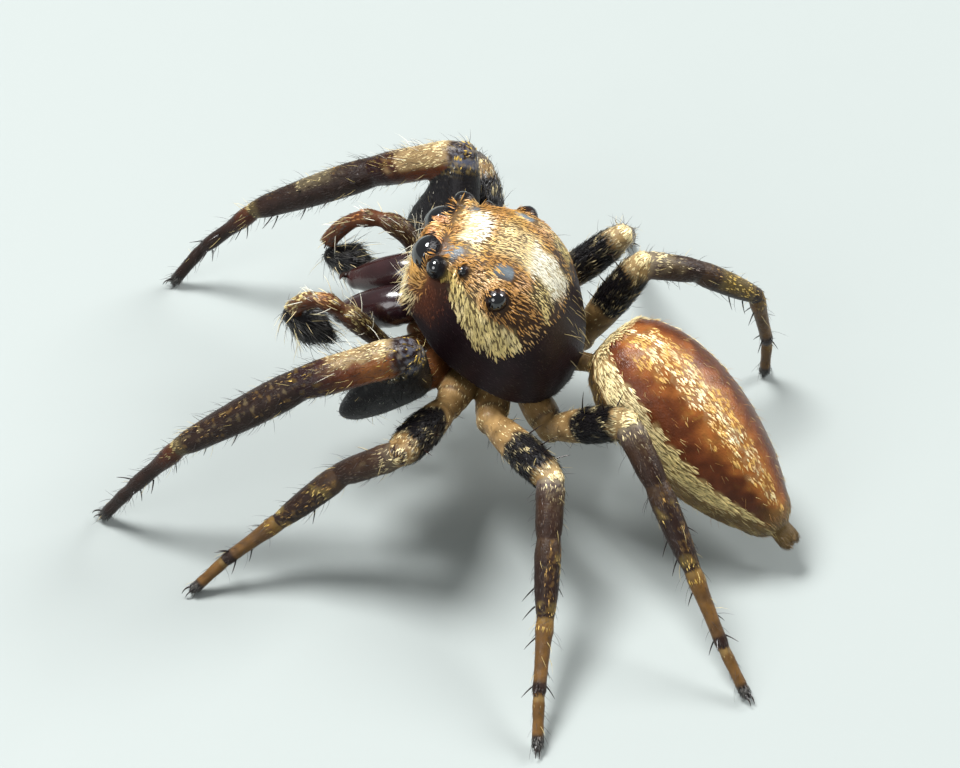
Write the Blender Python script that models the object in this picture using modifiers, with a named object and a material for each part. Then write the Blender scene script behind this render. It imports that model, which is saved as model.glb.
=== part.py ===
"""Jumping spider: a still, life-size model with its legs spread, in metres, +Z up, head towards -Y.

Every limb is a chain of turned segments with ball ends. Neighbouring segments are mitred on the plane
that halves the angle of their joint, so they meet face to face. Head, body and feelers are lofts and
bevelled curves. The feet are cut flat at floor level. The solids reach out to the tips of the hairs.
"""
import math

import bmesh
import bpy
from mathutils import Matrix, Vector

MM = 0.001
MODEL = "jumping_spider"

# ---- stance --------------------------------------------------------------------------------------
BODY_PITCH = 18.5           # head-up tilt of the front body, degrees
BODY_HEIGHT = 1.88 * MM     # lower rim of the head shield above the floor, at its middle
JOINT_GAP = 0.02 * MM       # clearance left between two solids that meet
CUTTER_SIZE = 14.0 * MM     # side of a box that stands for a half space

# ---- head shield (body frame: x to the animal's left, y back, z up from the lower rim) --------------
# each row: station y, half width, top, underside, squareness of the section
SHIELD_STATIONS = (
    (-1.31, 0.36, 0.90, 0.46, 2.2),
    (-1.26, 0.52, 1.02, 0.34, 2.5),
    (-1.12, 0.65, 1.14, 0.24, 2.9),
    (-0.92, 0.75, 1.25, 0.12, 3.0),
    (-0.62, 0.87, 1.36, -0.02, 3.1),
    (-0.28, 0.98, 1.40, -0.06, 3.0),
    (0.06, 1.05, 1.33, -0.07, 2.6),
    (0.36, 1.05, 1.13, -0.07, 2.3),
    (0.60, 0.96, 0.85, -0.06, 2.1),
    (0.79, 0.80, 0.56, -0.03, 2.0),
    (0.93, 0.56, 0.34, 0.00, 2.0),
    (0.99, 0.34, 0.22, 0.00, 2.0),
)
SHIELD_SIDES = 14

# ---- eyes (body frame): centre, radius --------------------------------------------------------------
EYES = {
    "anterior_median": ((0.262, -1.130, 0.845), 0.250),
    "anterior_lateral": ((0.590, -1.045, 1.010), 0.128),
    "posterior_median": ((0.575, -0.765, 1.122), 0.070),
    "posterior_lateral": ((0.735, -0.290, 1.092), 0.134),
}
EYE_CLEARANCE = 0.012 * MM
SHIELD_CLEARANCE = 0.015      # between the shield or abdomen and what is cut to meet it, millimetres
LARGE_EYE = 0.20              # eyes above this radius get the finer sphere, millimetres

# ---- underside --------------------------------------------------------------------------------------
# where each coxa ends and its femur begins (body frame, left side), front leg to rear leg
HIP = ((1.02, -0.68, -0.43), (1.14, -0.21, -0.42), (1.08, 0.32, -0.42), (0.80, 1.02, -0.40))
COXA_INNER = ((0.42, -0.42, -0.42), (0.46, -0.12, -0.44), (0.46, 0.22, -0.44), (0.32, 0.58, -0.42))
COXA_RADIUS = 0.235 * MM
STERNUM_CENTRE = (0.0, 0.05, -0.36)
STERNUM_SIZE = (0.50, 0.78, 0.26)     # half sizes
MOUTH_INNER = (0.16, -0.55, -0.36)
MOUTH_OUTER = (0.24, -0.90, -0.42)
MOUTH_RADIUS = 0.17 * MM
FEELER_ROOT = (0.26, -0.66, -0.42)
FEELER_ROOT_RADIUS = 0.16

# ---- jaws (body frame) --------------------------------------------------------------------------------
JAW_ROOT = (0.285, -1.14, -0.06)
JAW_TIP = (0.310, -1.76, -0.62)
JAW_RADII = (0.27, 0.27, 0.17)        # root, middle, tip
JAW_INNER_FACE = 0.012 * MM

# ---- abdomen (world axes before centring) ----------------------------------------------------------------
ABDOMEN_FRONT = (-0.04, 1.26, 2.10)
ABDOMEN_REAR = (1.04, 3.82, 0.46)
# share of the length from the front, half width in millimetres
ABDOMEN_PROFILE = ((0.0, 0.0), (0.012, 0.28), (0.05, 0.50), (0.12, 0.66), (0.22, 0.77), (0.35, 0.82),
                   (0.50, 0.80), (0.63, 0.72), (0.75, 0.60), (0.86, 0.44), (0.95, 0.26), (1.0, 0.0))
ABDOMEN_FLATTEN = 0.94                # depth over width
ABDOMEN_SIDES = 16
SPINNERET_LENGTH = 0.13               # beyond the abdomen, millimetres
SPINNERET_RADII = (0.11, 0.10, 0.07)
SPINNERET_SPREAD = 0.09
PEDICEL = ((0.0, 0.90, -0.06), (0.03, 1.52, 0.26))   # start and end in the body frame
PEDICEL_RADIUS = 0.17

# ---- legs: segment lengths, front pair to rear pair (femur, patella, tibia, metatarsus, tarsus) -----
SEGMENTS = ("femur", "patella", "tibia", "metatarsus", "tarsus")
LENGTHS = (
    (1.37, 1.27, 1.71, 1.02, 0.60),
    (1.43, 0.80, 1.01, 0.79, 0.50),
    (1.31, 0.70, 0.90, 0.88, 0.56),
    (1.44, 0.76, 1.05, 0.96, 0.58),
)
# half thickness at the start, the fullest point and the end of each segment, millimetres
STOUT = ((0.23, 0.27, 0.25), (0.26, 0.30, 0.29), (0.29, 0.31, 0.25), (0.25, 0.25, 0.24), (0.24, 0.24, 0.22))
SLIM = ((0.22, 0.26, 0.245), (0.245, 0.255, 0.245), (0.245, 0.255, 0.24), (0.24, 0.24, 0.235),
        (0.235, 0.235, 0.22))
SEGMENT_SIDES = 10
# the front femur is a deep blade: share of length, half thickness, depth above and below its axis
BLADE = ((-0.17, 0.08, 0.08, 0.10), (-0.10, 0.17, 0.16, 0.42), (0.04, 0.24, 0.23, 0.86),
         (0.25, 0.27, 0.24, 1.00), (0.47, 0.27, 0.24, 0.90), (0.70, 0.26, 0.24, 0.60),
         (0.90, 0.23, 0.21, 0.42), (0.99, 0.17, 0.15, 0.28), (1.03, 0.08, 0.05, 0.14))
BLADE_SIDES = 12
BLADE_TWIST = math.radians(16)        # the blade leans out from the plane of the leg
KNEE_CLEARANCE = 0.02
# pose: (azimuth from straight ahead towards the leg's own side, pitch) of each segment, degrees
POSE = {
    ("left", 1): ((96, 59), (18, -22), (18, -36), (15, -51), (3, -58)),
    ("left", 2): ((80, 19), (5, -37), (24, -45), (35, -35), (43, -37)),
    ("left", 3): ((136, 10), (103, -29), (103, -33), (100, -27), (104, -33)),
    ("left", 4): ((151, 40), (138, -34), (136, -37), (135, -38), (138, -34)),
    ("right", 1): ((76, 49), (2, -27), (-9, -29), (-12, -46), (-28, -53)),
    ("right", 2): ((67, 23), (69, -33), (72, -40), (73, -45), (75, -50)),
    ("right", 3): ((149, 37), (85, -42), (85, -43), (84, -46), (85, -44)),
    ("right", 4): ((170, 64), (150, -20), (148, -36), (136, -72), (116, -84)),
}
FOOT_HEIGHT = 0.10 * MM               # centre of the foot's ball above the floor
DROOP_LIMIT = 20.0                    # most that a leg's free part is turned to reach the floor, degrees
DROOP_STEPS = 50                      # halvings in the search for that turn
STEEPEST = 88.0                       # no segment points down more steeply than this, degrees

# ---- feelers (world axes before centring) ------------------------------------------------------------
FEELER_ARM = {
    "left": ((0.66, -1.06, 1.66), (0.78, -1.36, 2.06), (0.82, -1.74, 2.48), (0.86, -2.10, 2.60),
             (0.82, -2.33, 2.26)),
    "right": ((-0.67, -1.10, 1.70), (-0.82, -1.28, 2.26), (-0.84, -1.72, 2.50), (-0.82, -2.16, 2.32),
              (-0.78, -2.38, 1.90)),
}
FEELER_BULB = {
    "left": ((0.78, -2.34, 2.12), (0.70, -1.98, 1.84)),
    "right": ((-0.78, -2.30, 1.68), (-0.72, -1.88, 1.70)),
}
FEELER_RADIUS = 0.20 * MM
BULB_RADII = (0.23, 0.29, 0.20)

# ---- finish ----------------------------------------------------------------------------------------
COLOURS = {
    "shield": (0.165, 0.060, 0.040, 1.0),
    "eye": (0.010, 0.009, 0.010, 1.0),
    "jaw": (0.060, 0.018, 0.020, 1.0),
    "tan": (0.420, 0.240, 0.110, 1.0),
    "abdomen": (0.300, 0.105, 0.040, 1.0),
    "dark": (0.055, 0.026, 0.020, 1.0),
    "red_brown": (0.200, 0.070, 0.035, 1.0),
    "amber": (0.360, 0.170, 0.065, 1.0),
    "feeler": (0.130, 0.070, 0.040, 1.0),
}


def clear_scene():
    """Remove whatever the session started with."""
    for item in list(bpy.data.objects):
        bpy.data.objects.remove(item, do_unlink=True)


def collection(name):
    """Make a collection and link it to the scene."""
    made = bpy.data.collections.new(name)
    bpy.context.scene.collection.children.link(made)
    return made


def finish(name, colour):
    """A plain Principled material for one sub-part."""
    material = bpy.data.materials.new(name)
    material.use_nodes = True
    shader = material.node_tree.nodes["Principled BSDF"]
    shader.inputs["Base Color"].default_value = COLOURS[colour]
    shader.inputs["Roughness"].default_value = 0.45
    material.diffuse_color = COLOURS[colour]
    return material


def mesh_object(name, points, edges, faces, target, colour=None):
    """Wrap a mesh in a named object of one collection."""
    mesh = bpy.data.meshes.new(name)
    mesh.from_pydata(points, edges, faces)
    mesh.update()
    made = bpy.data.objects.new(name, mesh)
    target.objects.link(made)
    if colour:
        made.data.materials.append(finish(name, colour))
    return made


def body_point(point):
    """Carry a point of the tilted body frame (millimetres) to model axes (metres)."""
    turn = Matrix.Rotation(math.radians(-BODY_PITCH), 3, "X")
    return turn @ (Vector(point) * MM) + Vector((0.0, 0.0, BODY_HEIGHT))


def mirrored(point, side):
    """Left-hand points are stored; the right side mirrors them in x."""
    return point if side == "left" else (-point[0], point[1], point[2])


def aim(run, across):
    """Rotation whose Z follows the run and whose X lies as near across as it can."""
    z = run.normalized()
    y = z.cross(across).normalized()
    x = y.cross(z)
    return Matrix((x, y, z)).transposed()


def ball_profile(length, radii):
    """Outline of a tapered rod with ball ends, as (distance from the axis, height), top to bottom."""
    start, middle, end = (value * MM for value in radii)
    outline = [(0.0, length + end)]
    for angle in (60, 28):
        outline.append((end * math.cos(math.radians(angle)), length + end * math.sin(math.radians(angle))))
    outline.append((end, length))
    outline.append((middle, 0.62 * length))
    outline.append((middle, 0.36 * length))
    outline.append((start, 0.0))
    for angle in (28, 60):
        outline.append((start * math.cos(math.radians(angle)), -start * math.sin(math.radians(angle))))
    outline.append((0.0, -start))
    return outline


def turned(name, outline, sides, target, colour=None):
    """Turn an outline about Z with a Screw modifier."""
    points = [(radius, 0.0, height) for radius, height in outline]
    edges = [(i, i + 1) for i in range(len(points) - 1)]
    made = mesh_object(name, points, edges, [], target, colour)
    screw = made.modifiers.new("turn", "SCREW")
    screw.axis = "Z"
    screw.angle = math.tau
    screw.steps = screw.render_steps = sides
    screw.use_merge_vertices = True
    screw.merge_threshold = 0.000001
    screw.use_smooth_shade = False
    return made


def rod(name, start, end, radii, target, colour=None, across=Vector((0, 0, 1)), sides=SEGMENT_SIDES):
    """A ball-ended rod from start to end, with one of its corners turned towards the across direction."""
    run = end - start
    made = turned(name, ball_profile(run.length, radii), sides, target, colour)
    made.rotation_mode = "QUATERNION"
    made.rotation_quaternion = aim(run, across).to_quaternion()
    made.location = start
    return made


def plug(name, start, end, radius, cutters):
    """A plain flat-ended rod used as a cutter."""
    run = end - start
    made = turned(name, [(0.0, run.length), (radius, run.length), (radius, 0.0), (0.0, 0.0)], 12, cutters)
    made.rotation_mode = "QUATERNION"
    made.rotation_quaternion = run.to_track_quat("Z", "Y")
    made.location = start
    return hide_cutter(made)


def lofted(name, rings, target, colour=None):
    """Skin a row of closed rings and close both ends."""
    count = len(rings[0])
    points = [point for ring in rings for point in ring]
    faces = []
    for row in range(len(rings) - 1):
        for i in range(count):
            j = (i + 1) % count
            a, b = row * count, (row + 1) * count
            faces.append((a + i, a + j, b + j, b + i))
    faces.append(tuple(range(count - 1, -1, -1)))
    faces.append(tuple((len(rings) - 1) * count + i for i in range(count)))
    made = mesh_object(name, points, [], faces, target, colour)
    shell = bmesh.new()
    shell.from_mesh(made.data)
    bmesh.ops.recalc_face_normals(shell, faces=shell.faces)
    shell.to_mesh(made.data)
    shell.free()
    return made


def boolean(target, tool, operation):
    """Apply one EXACT boolean to a solid, as a live modifier."""
    step = target.modifiers.new(tool.name, "BOOLEAN")
    step.operation = operation
    step.solver = "EXACT"
    step.object = tool


def hide_cutter(cutter):
    """Cutters are shown as wire and never rendered."""
    cutter.hide_render = True
    cutter.display_type = "WIRE"
    return cutter


def half_space(name, point, normal, cutters):
    """A large box whose near face holds the point and faces against the normal."""
    half = CUTTER_SIZE / 2
    corners = [(x, y, z) for x in (-half, half) for y in (-half, half) for z in (0.0, CUTTER_SIZE)]
    faces = [(0, 1, 3, 2), (4, 6, 7, 5), (0, 4, 5, 1), (2, 3, 7, 6), (0, 2, 6, 4), (1, 5, 7, 3)]
    box = mesh_object(name, corners, [], faces, cutters)
    box.rotation_mode = "QUATERNION"
    box.rotation_quaternion = normal.to_track_quat("Z", "Y")
    box.location = point
    return hide_cutter(box)


def direction(side, azimuth, pitch):
    """Unit vector for an azimuth from straight ahead towards the leg's own side, and a pitch."""
    sign = 1.0 if side == "left" else -1.0
    a, p = math.radians(azimuth), math.radians(pitch)
    return Vector((sign * math.sin(a) * math.cos(p), -math.cos(a) * math.cos(p), math.sin(p)))


def leg_joints(side, number):
    """Joint centres of one leg; its free part is drooped by a common angle until the foot is down."""
    hip = body_point(mirrored(HIP[number - 1], side))
    lengths = [value * MM for value in LENGTHS[number - 1]]
    pose = POSE[(side, number)]

    def chain(droop):
        joints = [hip]
        for index, ((azimuth, pitch), length) in enumerate(zip(pose, lengths)):
            turn = pitch if index == 0 else max(pitch - droop, -STEEPEST)
            joints.append(joints[-1] + direction(side, azimuth, turn) * length)
        return joints

    low, high = -DROOP_LIMIT, DROOP_LIMIT
    for _ in range(DROOP_STEPS):
        middle = (low + high) / 2
        if chain(middle)[-1].z > FOOT_HEIGHT:
            low = middle
        else:
            high = middle
    return chain((low + high) / 2)


def blade(name, start, end, flat, under, target, colour):
    """Deep front femur: oval sections hung lower below its axis than above it."""
    run = end - start
    rings = []
    for share, half, above, below in BLADE:
        centre = start + run * share
        ring = []
        for i in range(BLADE_SIDES):
            turn = math.tau * i / BLADE_SIDES
            drop = math.sin(turn)
            depth = below if drop > 0 else above
            ring.append(centre + (flat * half * math.cos(turn) + under * depth * drop) * MM)
        rings.append(ring)
    return lofted(name, rings, target, colour)


def build_leg(side, number, parts, cutters):
    """Five mitred segments from the hip to the foot."""
    joints = leg_joints(side, number)
    runs = [(b - a).normalized() for a, b in zip(joints, joints[1:])]
    hinge = runs[0].cross(runs[1]).normalized()
    inner = body_point(mirrored(COXA_INNER[number - 1], side))
    runs_before = [(joints[0] - inner).normalized()] + runs[:-1]
    sizes = STOUT if number == 1 else SLIM
    colours = ("dark", "red_brown", "dark", "amber", "dark") if number == 1 else (
        "dark", "amber", "dark", "amber", "amber")
    label = f"leg_{side}_{number}"
    for index, segment in enumerate(SEGMENTS):
        name = f"{label}_{segment}"
        deep = number == 1 and index == 0
        knee = number == 1 and index == 1
        if deep:
            under = (runs[1] - runs[0] * runs[1].dot(runs[0])).normalized()
            lean = BLADE_TWIST if side == "left" else -BLADE_TWIST
            flat = hinge * math.cos(lean) - under * math.sin(lean)
            under = under * math.cos(lean) + hinge * math.sin(lean)
            piece = blade(name, joints[0], joints[1], flat, under, parts, colours[0])
            grown = tuple(radius + KNEE_CLEARANCE for radius in sizes[1])
            socket = rod(f"cut_{label}_socket", joints[1], joints[2], grown, cutters, across=hinge)
            boolean(piece, hide_cutter(socket), "DIFFERENCE")
        else:
            piece = rod(name, joints[index], joints[index + 1], sizes[index], parts, colours[index],
                        across=hinge)
        behind = (runs_before[index] + runs[index]).normalized()
        if not knee:
            cut = half_space(f"cut_{name}_root", joints[index] + behind * JOINT_GAP / 2, -behind, cutters)
            boolean(piece, cut, "DIFFERENCE")
        if index + 1 < len(SEGMENTS) and not deep:
            ahead = (runs[index] + runs[index + 1]).normalized()
            cut = half_space(f"cut_{name}_end", joints[index + 1] - ahead * JOINT_GAP / 2, ahead, cutters)
            boolean(piece, cut, "DIFFERENCE")
        if segment == "tarsus":
            boolean(piece, cutters.objects["cut_floor"], "DIFFERENCE")


def shield_rings(grow=0.0):
    """Arched cross sections of the head shield, front to rear, in model axes."""
    rings = []
    middle = (SHIELD_STATIONS[0][0] + SHIELD_STATIONS[-1][0]) / 2
    reach = (SHIELD_STATIONS[-1][0] - SHIELD_STATIONS[0][0]) / 2
    for y, half, top, under, power in SHIELD_STATIONS:
        y = middle + (y - middle) * (1 + grow / reach)
        under = under - grow
        ring = []
        for i in range(SHIELD_SIDES + 1):
            t = math.pi * i / SHIELD_SIDES
            c, s = math.cos(t), math.sin(t)
            x = (half + grow) * math.copysign(abs(c) ** (2 / power), c)
            z = under + (top + grow - under) * abs(s) ** (2 / power)
            ring.append(body_point((x, y, z)))
        rings.append(ring)
    return rings


def build_head(parts, cutters):
    """Head shield with a socket for each of the eight eyes, and the eyes."""
    shield = lofted("head_shield", shield_rings(), parts, "shield")
    for name, (centre, radius) in EYES.items():
        for side in ("left", "right"):
            place = body_point(mirrored(centre, side))
            for label, size, target in ((f"eye_{name}_{side}", radius * MM, parts),
                                        (f"cut_eye_{name}_{side}", radius * MM + EYE_CLEARANCE, cutters)):
                fine = radius > LARGE_EYE
                bpy.ops.mesh.primitive_uv_sphere_add(segments=12 if fine else 10, ring_count=8 if fine else 6,
                                                     radius=size, location=place)
                ball = bpy.context.object
                for owner in list(ball.users_collection):
                    owner.objects.unlink(ball)
                target.objects.link(ball)
                ball.name = ball.data.name = label
                if target is parts:
                    ball.data.materials.append(finish(label, "eye"))
                else:
                    boolean(shield, hide_cutter(ball), "DIFFERENCE")


def build_underside(parts, cutters):
    """Breastplate, leg roots and mouthparts in one solid below the head shield."""
    bpy.ops.mesh.primitive_uv_sphere_add(segments=12, ring_count=8, radius=1.0)
    plate = bpy.context.object
    for owner in list(plate.users_collection):
        owner.objects.unlink(plate)
    parts.objects.link(plate)
    plate.name = plate.data.name = "underside"
    plate.data.materials.append(finish("underside", "tan"))
    plate.scale = [value * MM for value in STERNUM_SIZE]
    plate.rotation_euler = (math.radians(-BODY_PITCH), 0.0, 0.0)
    plate.location = body_point(STERNUM_CENTRE)
    radius = COXA_RADIUS / MM
    up = Vector((0, 0, 1))
    for side in ("left", "right"):
        for number in range(1, 5):
            start = body_point(mirrored(COXA_INNER[number - 1], side))
            end = body_point(mirrored(HIP[number - 1], side))
            root = rod(f"join_coxa_{side}_{number}", start, end, (radius, radius, radius), cutters, across=up,
                       sides=8)
            joints = leg_joints(side, number)
            bisector = ((end - start).normalized() + (joints[1] - joints[0]).normalized()).normalized()
            cut = half_space(f"cut_coxa_{side}_{number}", end - bisector * JOINT_GAP / 2, bisector, cutters)
            boolean(root, cut, "DIFFERENCE")
            boolean(plate, hide_cutter(root), "UNION")
        lip = rod(f"join_mouth_{side}", body_point(mirrored(MOUTH_INNER, side)),
                  body_point(mirrored(MOUTH_OUTER, side)), (MOUTH_RADIUS / MM,) * 3, cutters, across=up,
                  sides=6)
        boolean(plate, hide_cutter(lip), "UNION")
        first, second = (Vector(point) * MM for point in FEELER_ARM[side][:2])
        ahead = (second - first).normalized()
        base = rod(f"join_feeler_{side}", body_point(mirrored(FEELER_ROOT, side)), first,
                   (FEELER_ROOT_RADIUS,) * 3, cutters, across=up, sides=8)
        cut = half_space(f"cut_feeler_{side}_root", first - ahead * JOINT_GAP / 2, ahead, cutters)
        boolean(base, cut, "DIFFERENCE")
        boolean(plate, hide_cutter(base), "UNION")
    lid_up = body_point((0, 0, 1)) - body_point((0, 0, 0))
    lid_base = body_point((0.0, 0.0, -JOINT_GAP / MM))
    lid = half_space("cut_underside_top", lid_base, lid_up.normalized(), cutters)
    boolean(plate, lid, "DIFFERENCE")


def build_jaws(parts, cutters):
    """Two forward-leaning jaws under the front eyes."""
    for side in ("left", "right"):
        start, end = (body_point(mirrored(point, side)) for point in (JAW_ROOT, JAW_TIP))
        jaw = rod(f"jaw_{side}", start, end, JAW_RADII, parts, "jaw", across=Vector((1, 0, 0)), sides=14)
        inward = Vector((-1.0 if side == "left" else 1.0, 0.0, 0.0))
        middle = half_space(f"cut_jaw_{side}_inner", -inward * JAW_INNER_FACE, inward, cutters)
        boolean(jaw, middle, "DIFFERENCE")
        grown = hide_cutter(lofted(f"cut_jaw_{side}_shield", shield_rings(grow=SHIELD_CLEARANCE), cutters))
        boolean(jaw, grown, "DIFFERENCE")


def build_feelers(parts, cutters):
    """Curved arms from the mouth, each ending in a swollen bulb tucked back under the arm."""
    for side in ("left", "right"):
        curve = bpy.data.curves.new(f"feeler_{side}_arm", "CURVE")
        curve.dimensions = "3D"
        curve.bevel_depth = FEELER_RADIUS
        curve.bevel_resolution = 2
        curve.resolution_u = curve.render_resolution_u = 3
        curve.use_fill_caps = True
        line = curve.splines.new("NURBS")
        route = FEELER_ARM[side]
        line.points.add(len(route) - 1)
        for node, place in zip(line.points, route):
            node.co = (place[0] * MM, place[1] * MM, place[2] * MM, 1.0)
        line.use_endpoint_u = True
        line.order_u = 4
        arm = bpy.data.objects.new(f"feeler_{side}_arm", curve)
        parts.objects.link(arm)
        curve.materials.append(finish(f"feeler_{side}_arm", "feeler"))
        start, end = (Vector(point) * MM for point in FEELER_BULB[side])
        bulb = rod(f"feeler_{side}_bulb", start, end, BULB_RADII, parts, "dark", across=Vector((1, 0, 0)),
                   sides=12)
        last, tip = (Vector(point) * MM for point in route[-2:])
        reach = (tip - last).normalized() * JOINT_GAP
        socket = plug(f"cut_feeler_{side}_socket", last, tip + reach, FEELER_RADIUS + JOINT_GAP, cutters)
        boolean(bulb, socket, "DIFFERENCE")


def abdomen_solid(name, grow, target, colour=None):
    """The long oval of the abdomen, turned about its own axis and a little flattened."""
    front, rear = Vector(ABDOMEN_FRONT) * MM, Vector(ABDOMEN_REAR) * MM
    run = rear - front
    length = run.length + 2 * grow * MM
    outline = [((radius + (grow if radius else 0.0)) * MM, share * length)
               for share, radius in reversed(ABDOMEN_PROFILE)]
    solid = turned(name, outline, ABDOMEN_SIDES, target, colour)
    solid.rotation_mode = "QUATERNION"
    solid.rotation_quaternion = aim(run, Vector((0, 0, 1)).cross(run)).to_quaternion()
    solid.location = front - run.normalized() * grow * MM
    solid.scale = (1.0, ABDOMEN_FLATTEN, 1.0)
    return solid


def build_abdomen(parts, cutters):
    """Abdomen, the narrow waist before it and the spinnerets behind it."""
    abdomen_solid("abdomen", 0.0, parts, "abdomen")
    grown = hide_cutter(abdomen_solid("cut_abdomen_grown", SHIELD_CLEARANCE, cutters))
    front, rear = Vector(ABDOMEN_FRONT) * MM, Vector(ABDOMEN_REAR) * MM
    along = (rear - front).normalized()
    across = Vector((0, 0, 1)).cross(along).normalized()
    start = rear - along * 0.25 * MM
    cone = rod("spinnerets", start, rear + along * SPINNERET_LENGTH * MM, SPINNERET_RADII, parts, "dark",
               across=across, sides=6)
    for sign, side in ((1, "left"), (-1, "right")):
        offset = across * sign * SPINNERET_SPREAD * MM
        tip = rear + along * SPINNERET_LENGTH * 0.7 * MM + offset
        pair = rod(f"join_spinneret_{side}", start + offset * 0.6, tip, SPINNERET_RADII, cutters, across=across,
                   sides=6)
        boolean(cone, hide_cutter(pair), "UNION")
    boolean(cone, grown, "DIFFERENCE")
    waist = rod("waist", body_point(PEDICEL[0]), body_point(PEDICEL[1]), (PEDICEL_RADIUS,) * 3, parts, "tan",
                across=Vector((1, 0, 0)), sides=10)
    shell = hide_cutter(lofted("cut_waist_shield", shield_rings(grow=SHIELD_CLEARANCE), cutters))
    boolean(waist, shell, "DIFFERENCE")
    boolean(waist, grown, "DIFFERENCE")


def centre_model(groups):
    """Slide everything so that the box of the visible solids stands centred on the origin."""
    bpy.context.view_layer.update()
    graph = bpy.context.evaluated_depsgraph_get()
    low = Vector((1e9,) * 3)
    high = Vector((-1e9,) * 3)
    for item in groups[0].objects:
        solid = item.evaluated_get(graph)
        mesh = solid.to_mesh()
        for vertex in mesh.vertices:
            place = item.matrix_world @ vertex.co
            low = Vector(map(min, low, place))
            high = Vector(map(max, high, place))
        solid.to_mesh_clear()
    shift = Vector(((low.x + high.x) / 2, (low.y + high.y) / 2, low.z))
    for group in groups:
        for item in group.objects:
            item.location = item.location - shift


def main():
    """Build the spider."""
    clear_scene()
    parts = collection(MODEL)
    cutters = collection("cutters")
    half_space("cut_floor", Vector((0, 0, 0)), Vector((0, 0, -1)), cutters)
    build_head(parts, cutters)
    build_underside(parts, cutters)
    build_jaws(parts, cutters)
    build_feelers(parts, cutters)
    build_abdomen(parts, cutters)
    for side in ("left", "right"):
        for number in range(1, 5):
            build_leg(side, number, parts, cutters)
    centre_model((parts, cutters))


main()
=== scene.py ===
"""Looks of the jumping spider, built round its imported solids.

One skin with the animal's markings replaces all the nodes of flesh. Eyes, jaws, fangs, claws and leg
spines are pieces of their own, and a coat of lying scales and standing hairs grows on the skin. Sizes in
the classes are millimetres. They become metres when a piece is made.
"""
import logging
import math
from collections.abc import Sequence
from dataclasses import dataclass, field
from enum import Enum, IntEnum

import bpy
import numpy as np
from mathutils import Matrix, Vector
from mathutils.bvhtree import BVHTree


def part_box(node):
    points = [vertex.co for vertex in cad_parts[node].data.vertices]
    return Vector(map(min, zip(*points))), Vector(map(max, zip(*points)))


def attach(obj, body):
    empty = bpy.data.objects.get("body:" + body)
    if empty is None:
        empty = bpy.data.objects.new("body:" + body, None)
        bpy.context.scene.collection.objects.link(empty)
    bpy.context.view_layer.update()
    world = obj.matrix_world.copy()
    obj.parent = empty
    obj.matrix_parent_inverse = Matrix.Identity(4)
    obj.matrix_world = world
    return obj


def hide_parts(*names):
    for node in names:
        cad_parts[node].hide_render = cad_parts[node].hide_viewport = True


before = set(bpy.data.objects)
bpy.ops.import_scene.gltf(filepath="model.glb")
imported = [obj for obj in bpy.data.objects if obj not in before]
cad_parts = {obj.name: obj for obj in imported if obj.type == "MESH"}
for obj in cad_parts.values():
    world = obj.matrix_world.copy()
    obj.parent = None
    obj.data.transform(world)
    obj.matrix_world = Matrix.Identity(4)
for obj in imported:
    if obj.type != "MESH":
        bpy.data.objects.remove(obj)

MM = 0.001
SEED = 7
Colour = tuple[float, float, float]
Mask = np.ndarray | float
Horn = tuple[np.ndarray, np.ndarray, np.ndarray]
log = logging.getLogger("spider")


# ---- small vector tools --------------------

def unit(vectors: np.ndarray) -> np.ndarray:
    """Scale vectors to length one."""
    return vectors / np.maximum(np.linalg.norm(vectors, axis=-1, keepdims=True), 1e-12)


def dot(a: np.ndarray, b: np.ndarray) -> np.ndarray:
    """Row by row scalar product."""
    return np.sum(a * b, axis=-1)


def gap_to(points: np.ndarray, centre: Sequence[float]) -> np.ndarray:
    """Distance of each point from a place."""
    return np.linalg.norm(points - np.array(centre), axis=1)


def curve_through(keys: Sequence[Sequence[float]], shares: np.ndarray) -> np.ndarray:
    """Smooth curve through rows of (share, value, ...).

    Args:
        keys: Rows in rising order of share.
        shares: Where to read the curve.

    Returns:
        One row of values for each share.
    """
    table = np.asarray(keys, float)
    x, y = table[:, 0], table[:, 1:]
    slope = np.gradient(y, x, axis=0)
    i = np.clip(np.searchsorted(x, shares) - 1, 0, len(x) - 2)
    gap = (x[i + 1] - x[i])[:, None]
    t = np.clip((shares - x[i])[:, None] / gap, 0.0, 1.0)
    t2, t3 = t * t, t * t * t
    start = (2 * t3 - 3 * t2 + 1) * y[i] + (t3 - 2 * t2 + t) * gap * slope[i]
    return start + (3 * t2 - 2 * t3) * y[i + 1] + (t3 - t2) * gap * slope[i + 1]


def step(low: float, high: float, values: np.ndarray) -> np.ndarray:
    """Smooth step from 0 at low to 1 at high; low may be the larger."""
    t = np.clip((values - low) / (high - low), 0.0, 1.0)
    return t * t * (3 - 2 * t)


def band(values: np.ndarray, low: float, high: float, soft: float) -> np.ndarray:
    """1 between low and high, falling to 0 over a soft edge."""
    return step(low - soft, low + soft, values) * step(high + soft, high - soft, values)


def ripple(points: np.ndarray, size: float, seed: int) -> np.ndarray:
    """Irregular smooth pattern between about -1 and 1, with blotches of about the given size.

    Args:
        points: Points in millimetres.
        size: Width of a blotch.
        seed: Picks the pattern.

    Returns:
        One value for each point.
    """
    source = np.random.default_rng(seed)
    total = np.zeros(len(points))
    for _ in range(9):
        way = unit(source.normal(size=3)) * math.tau / (size * source.uniform(1.2, 3.2))
        total += np.sin(points @ way + source.uniform(0, math.tau))
    return total / 3.2


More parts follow.
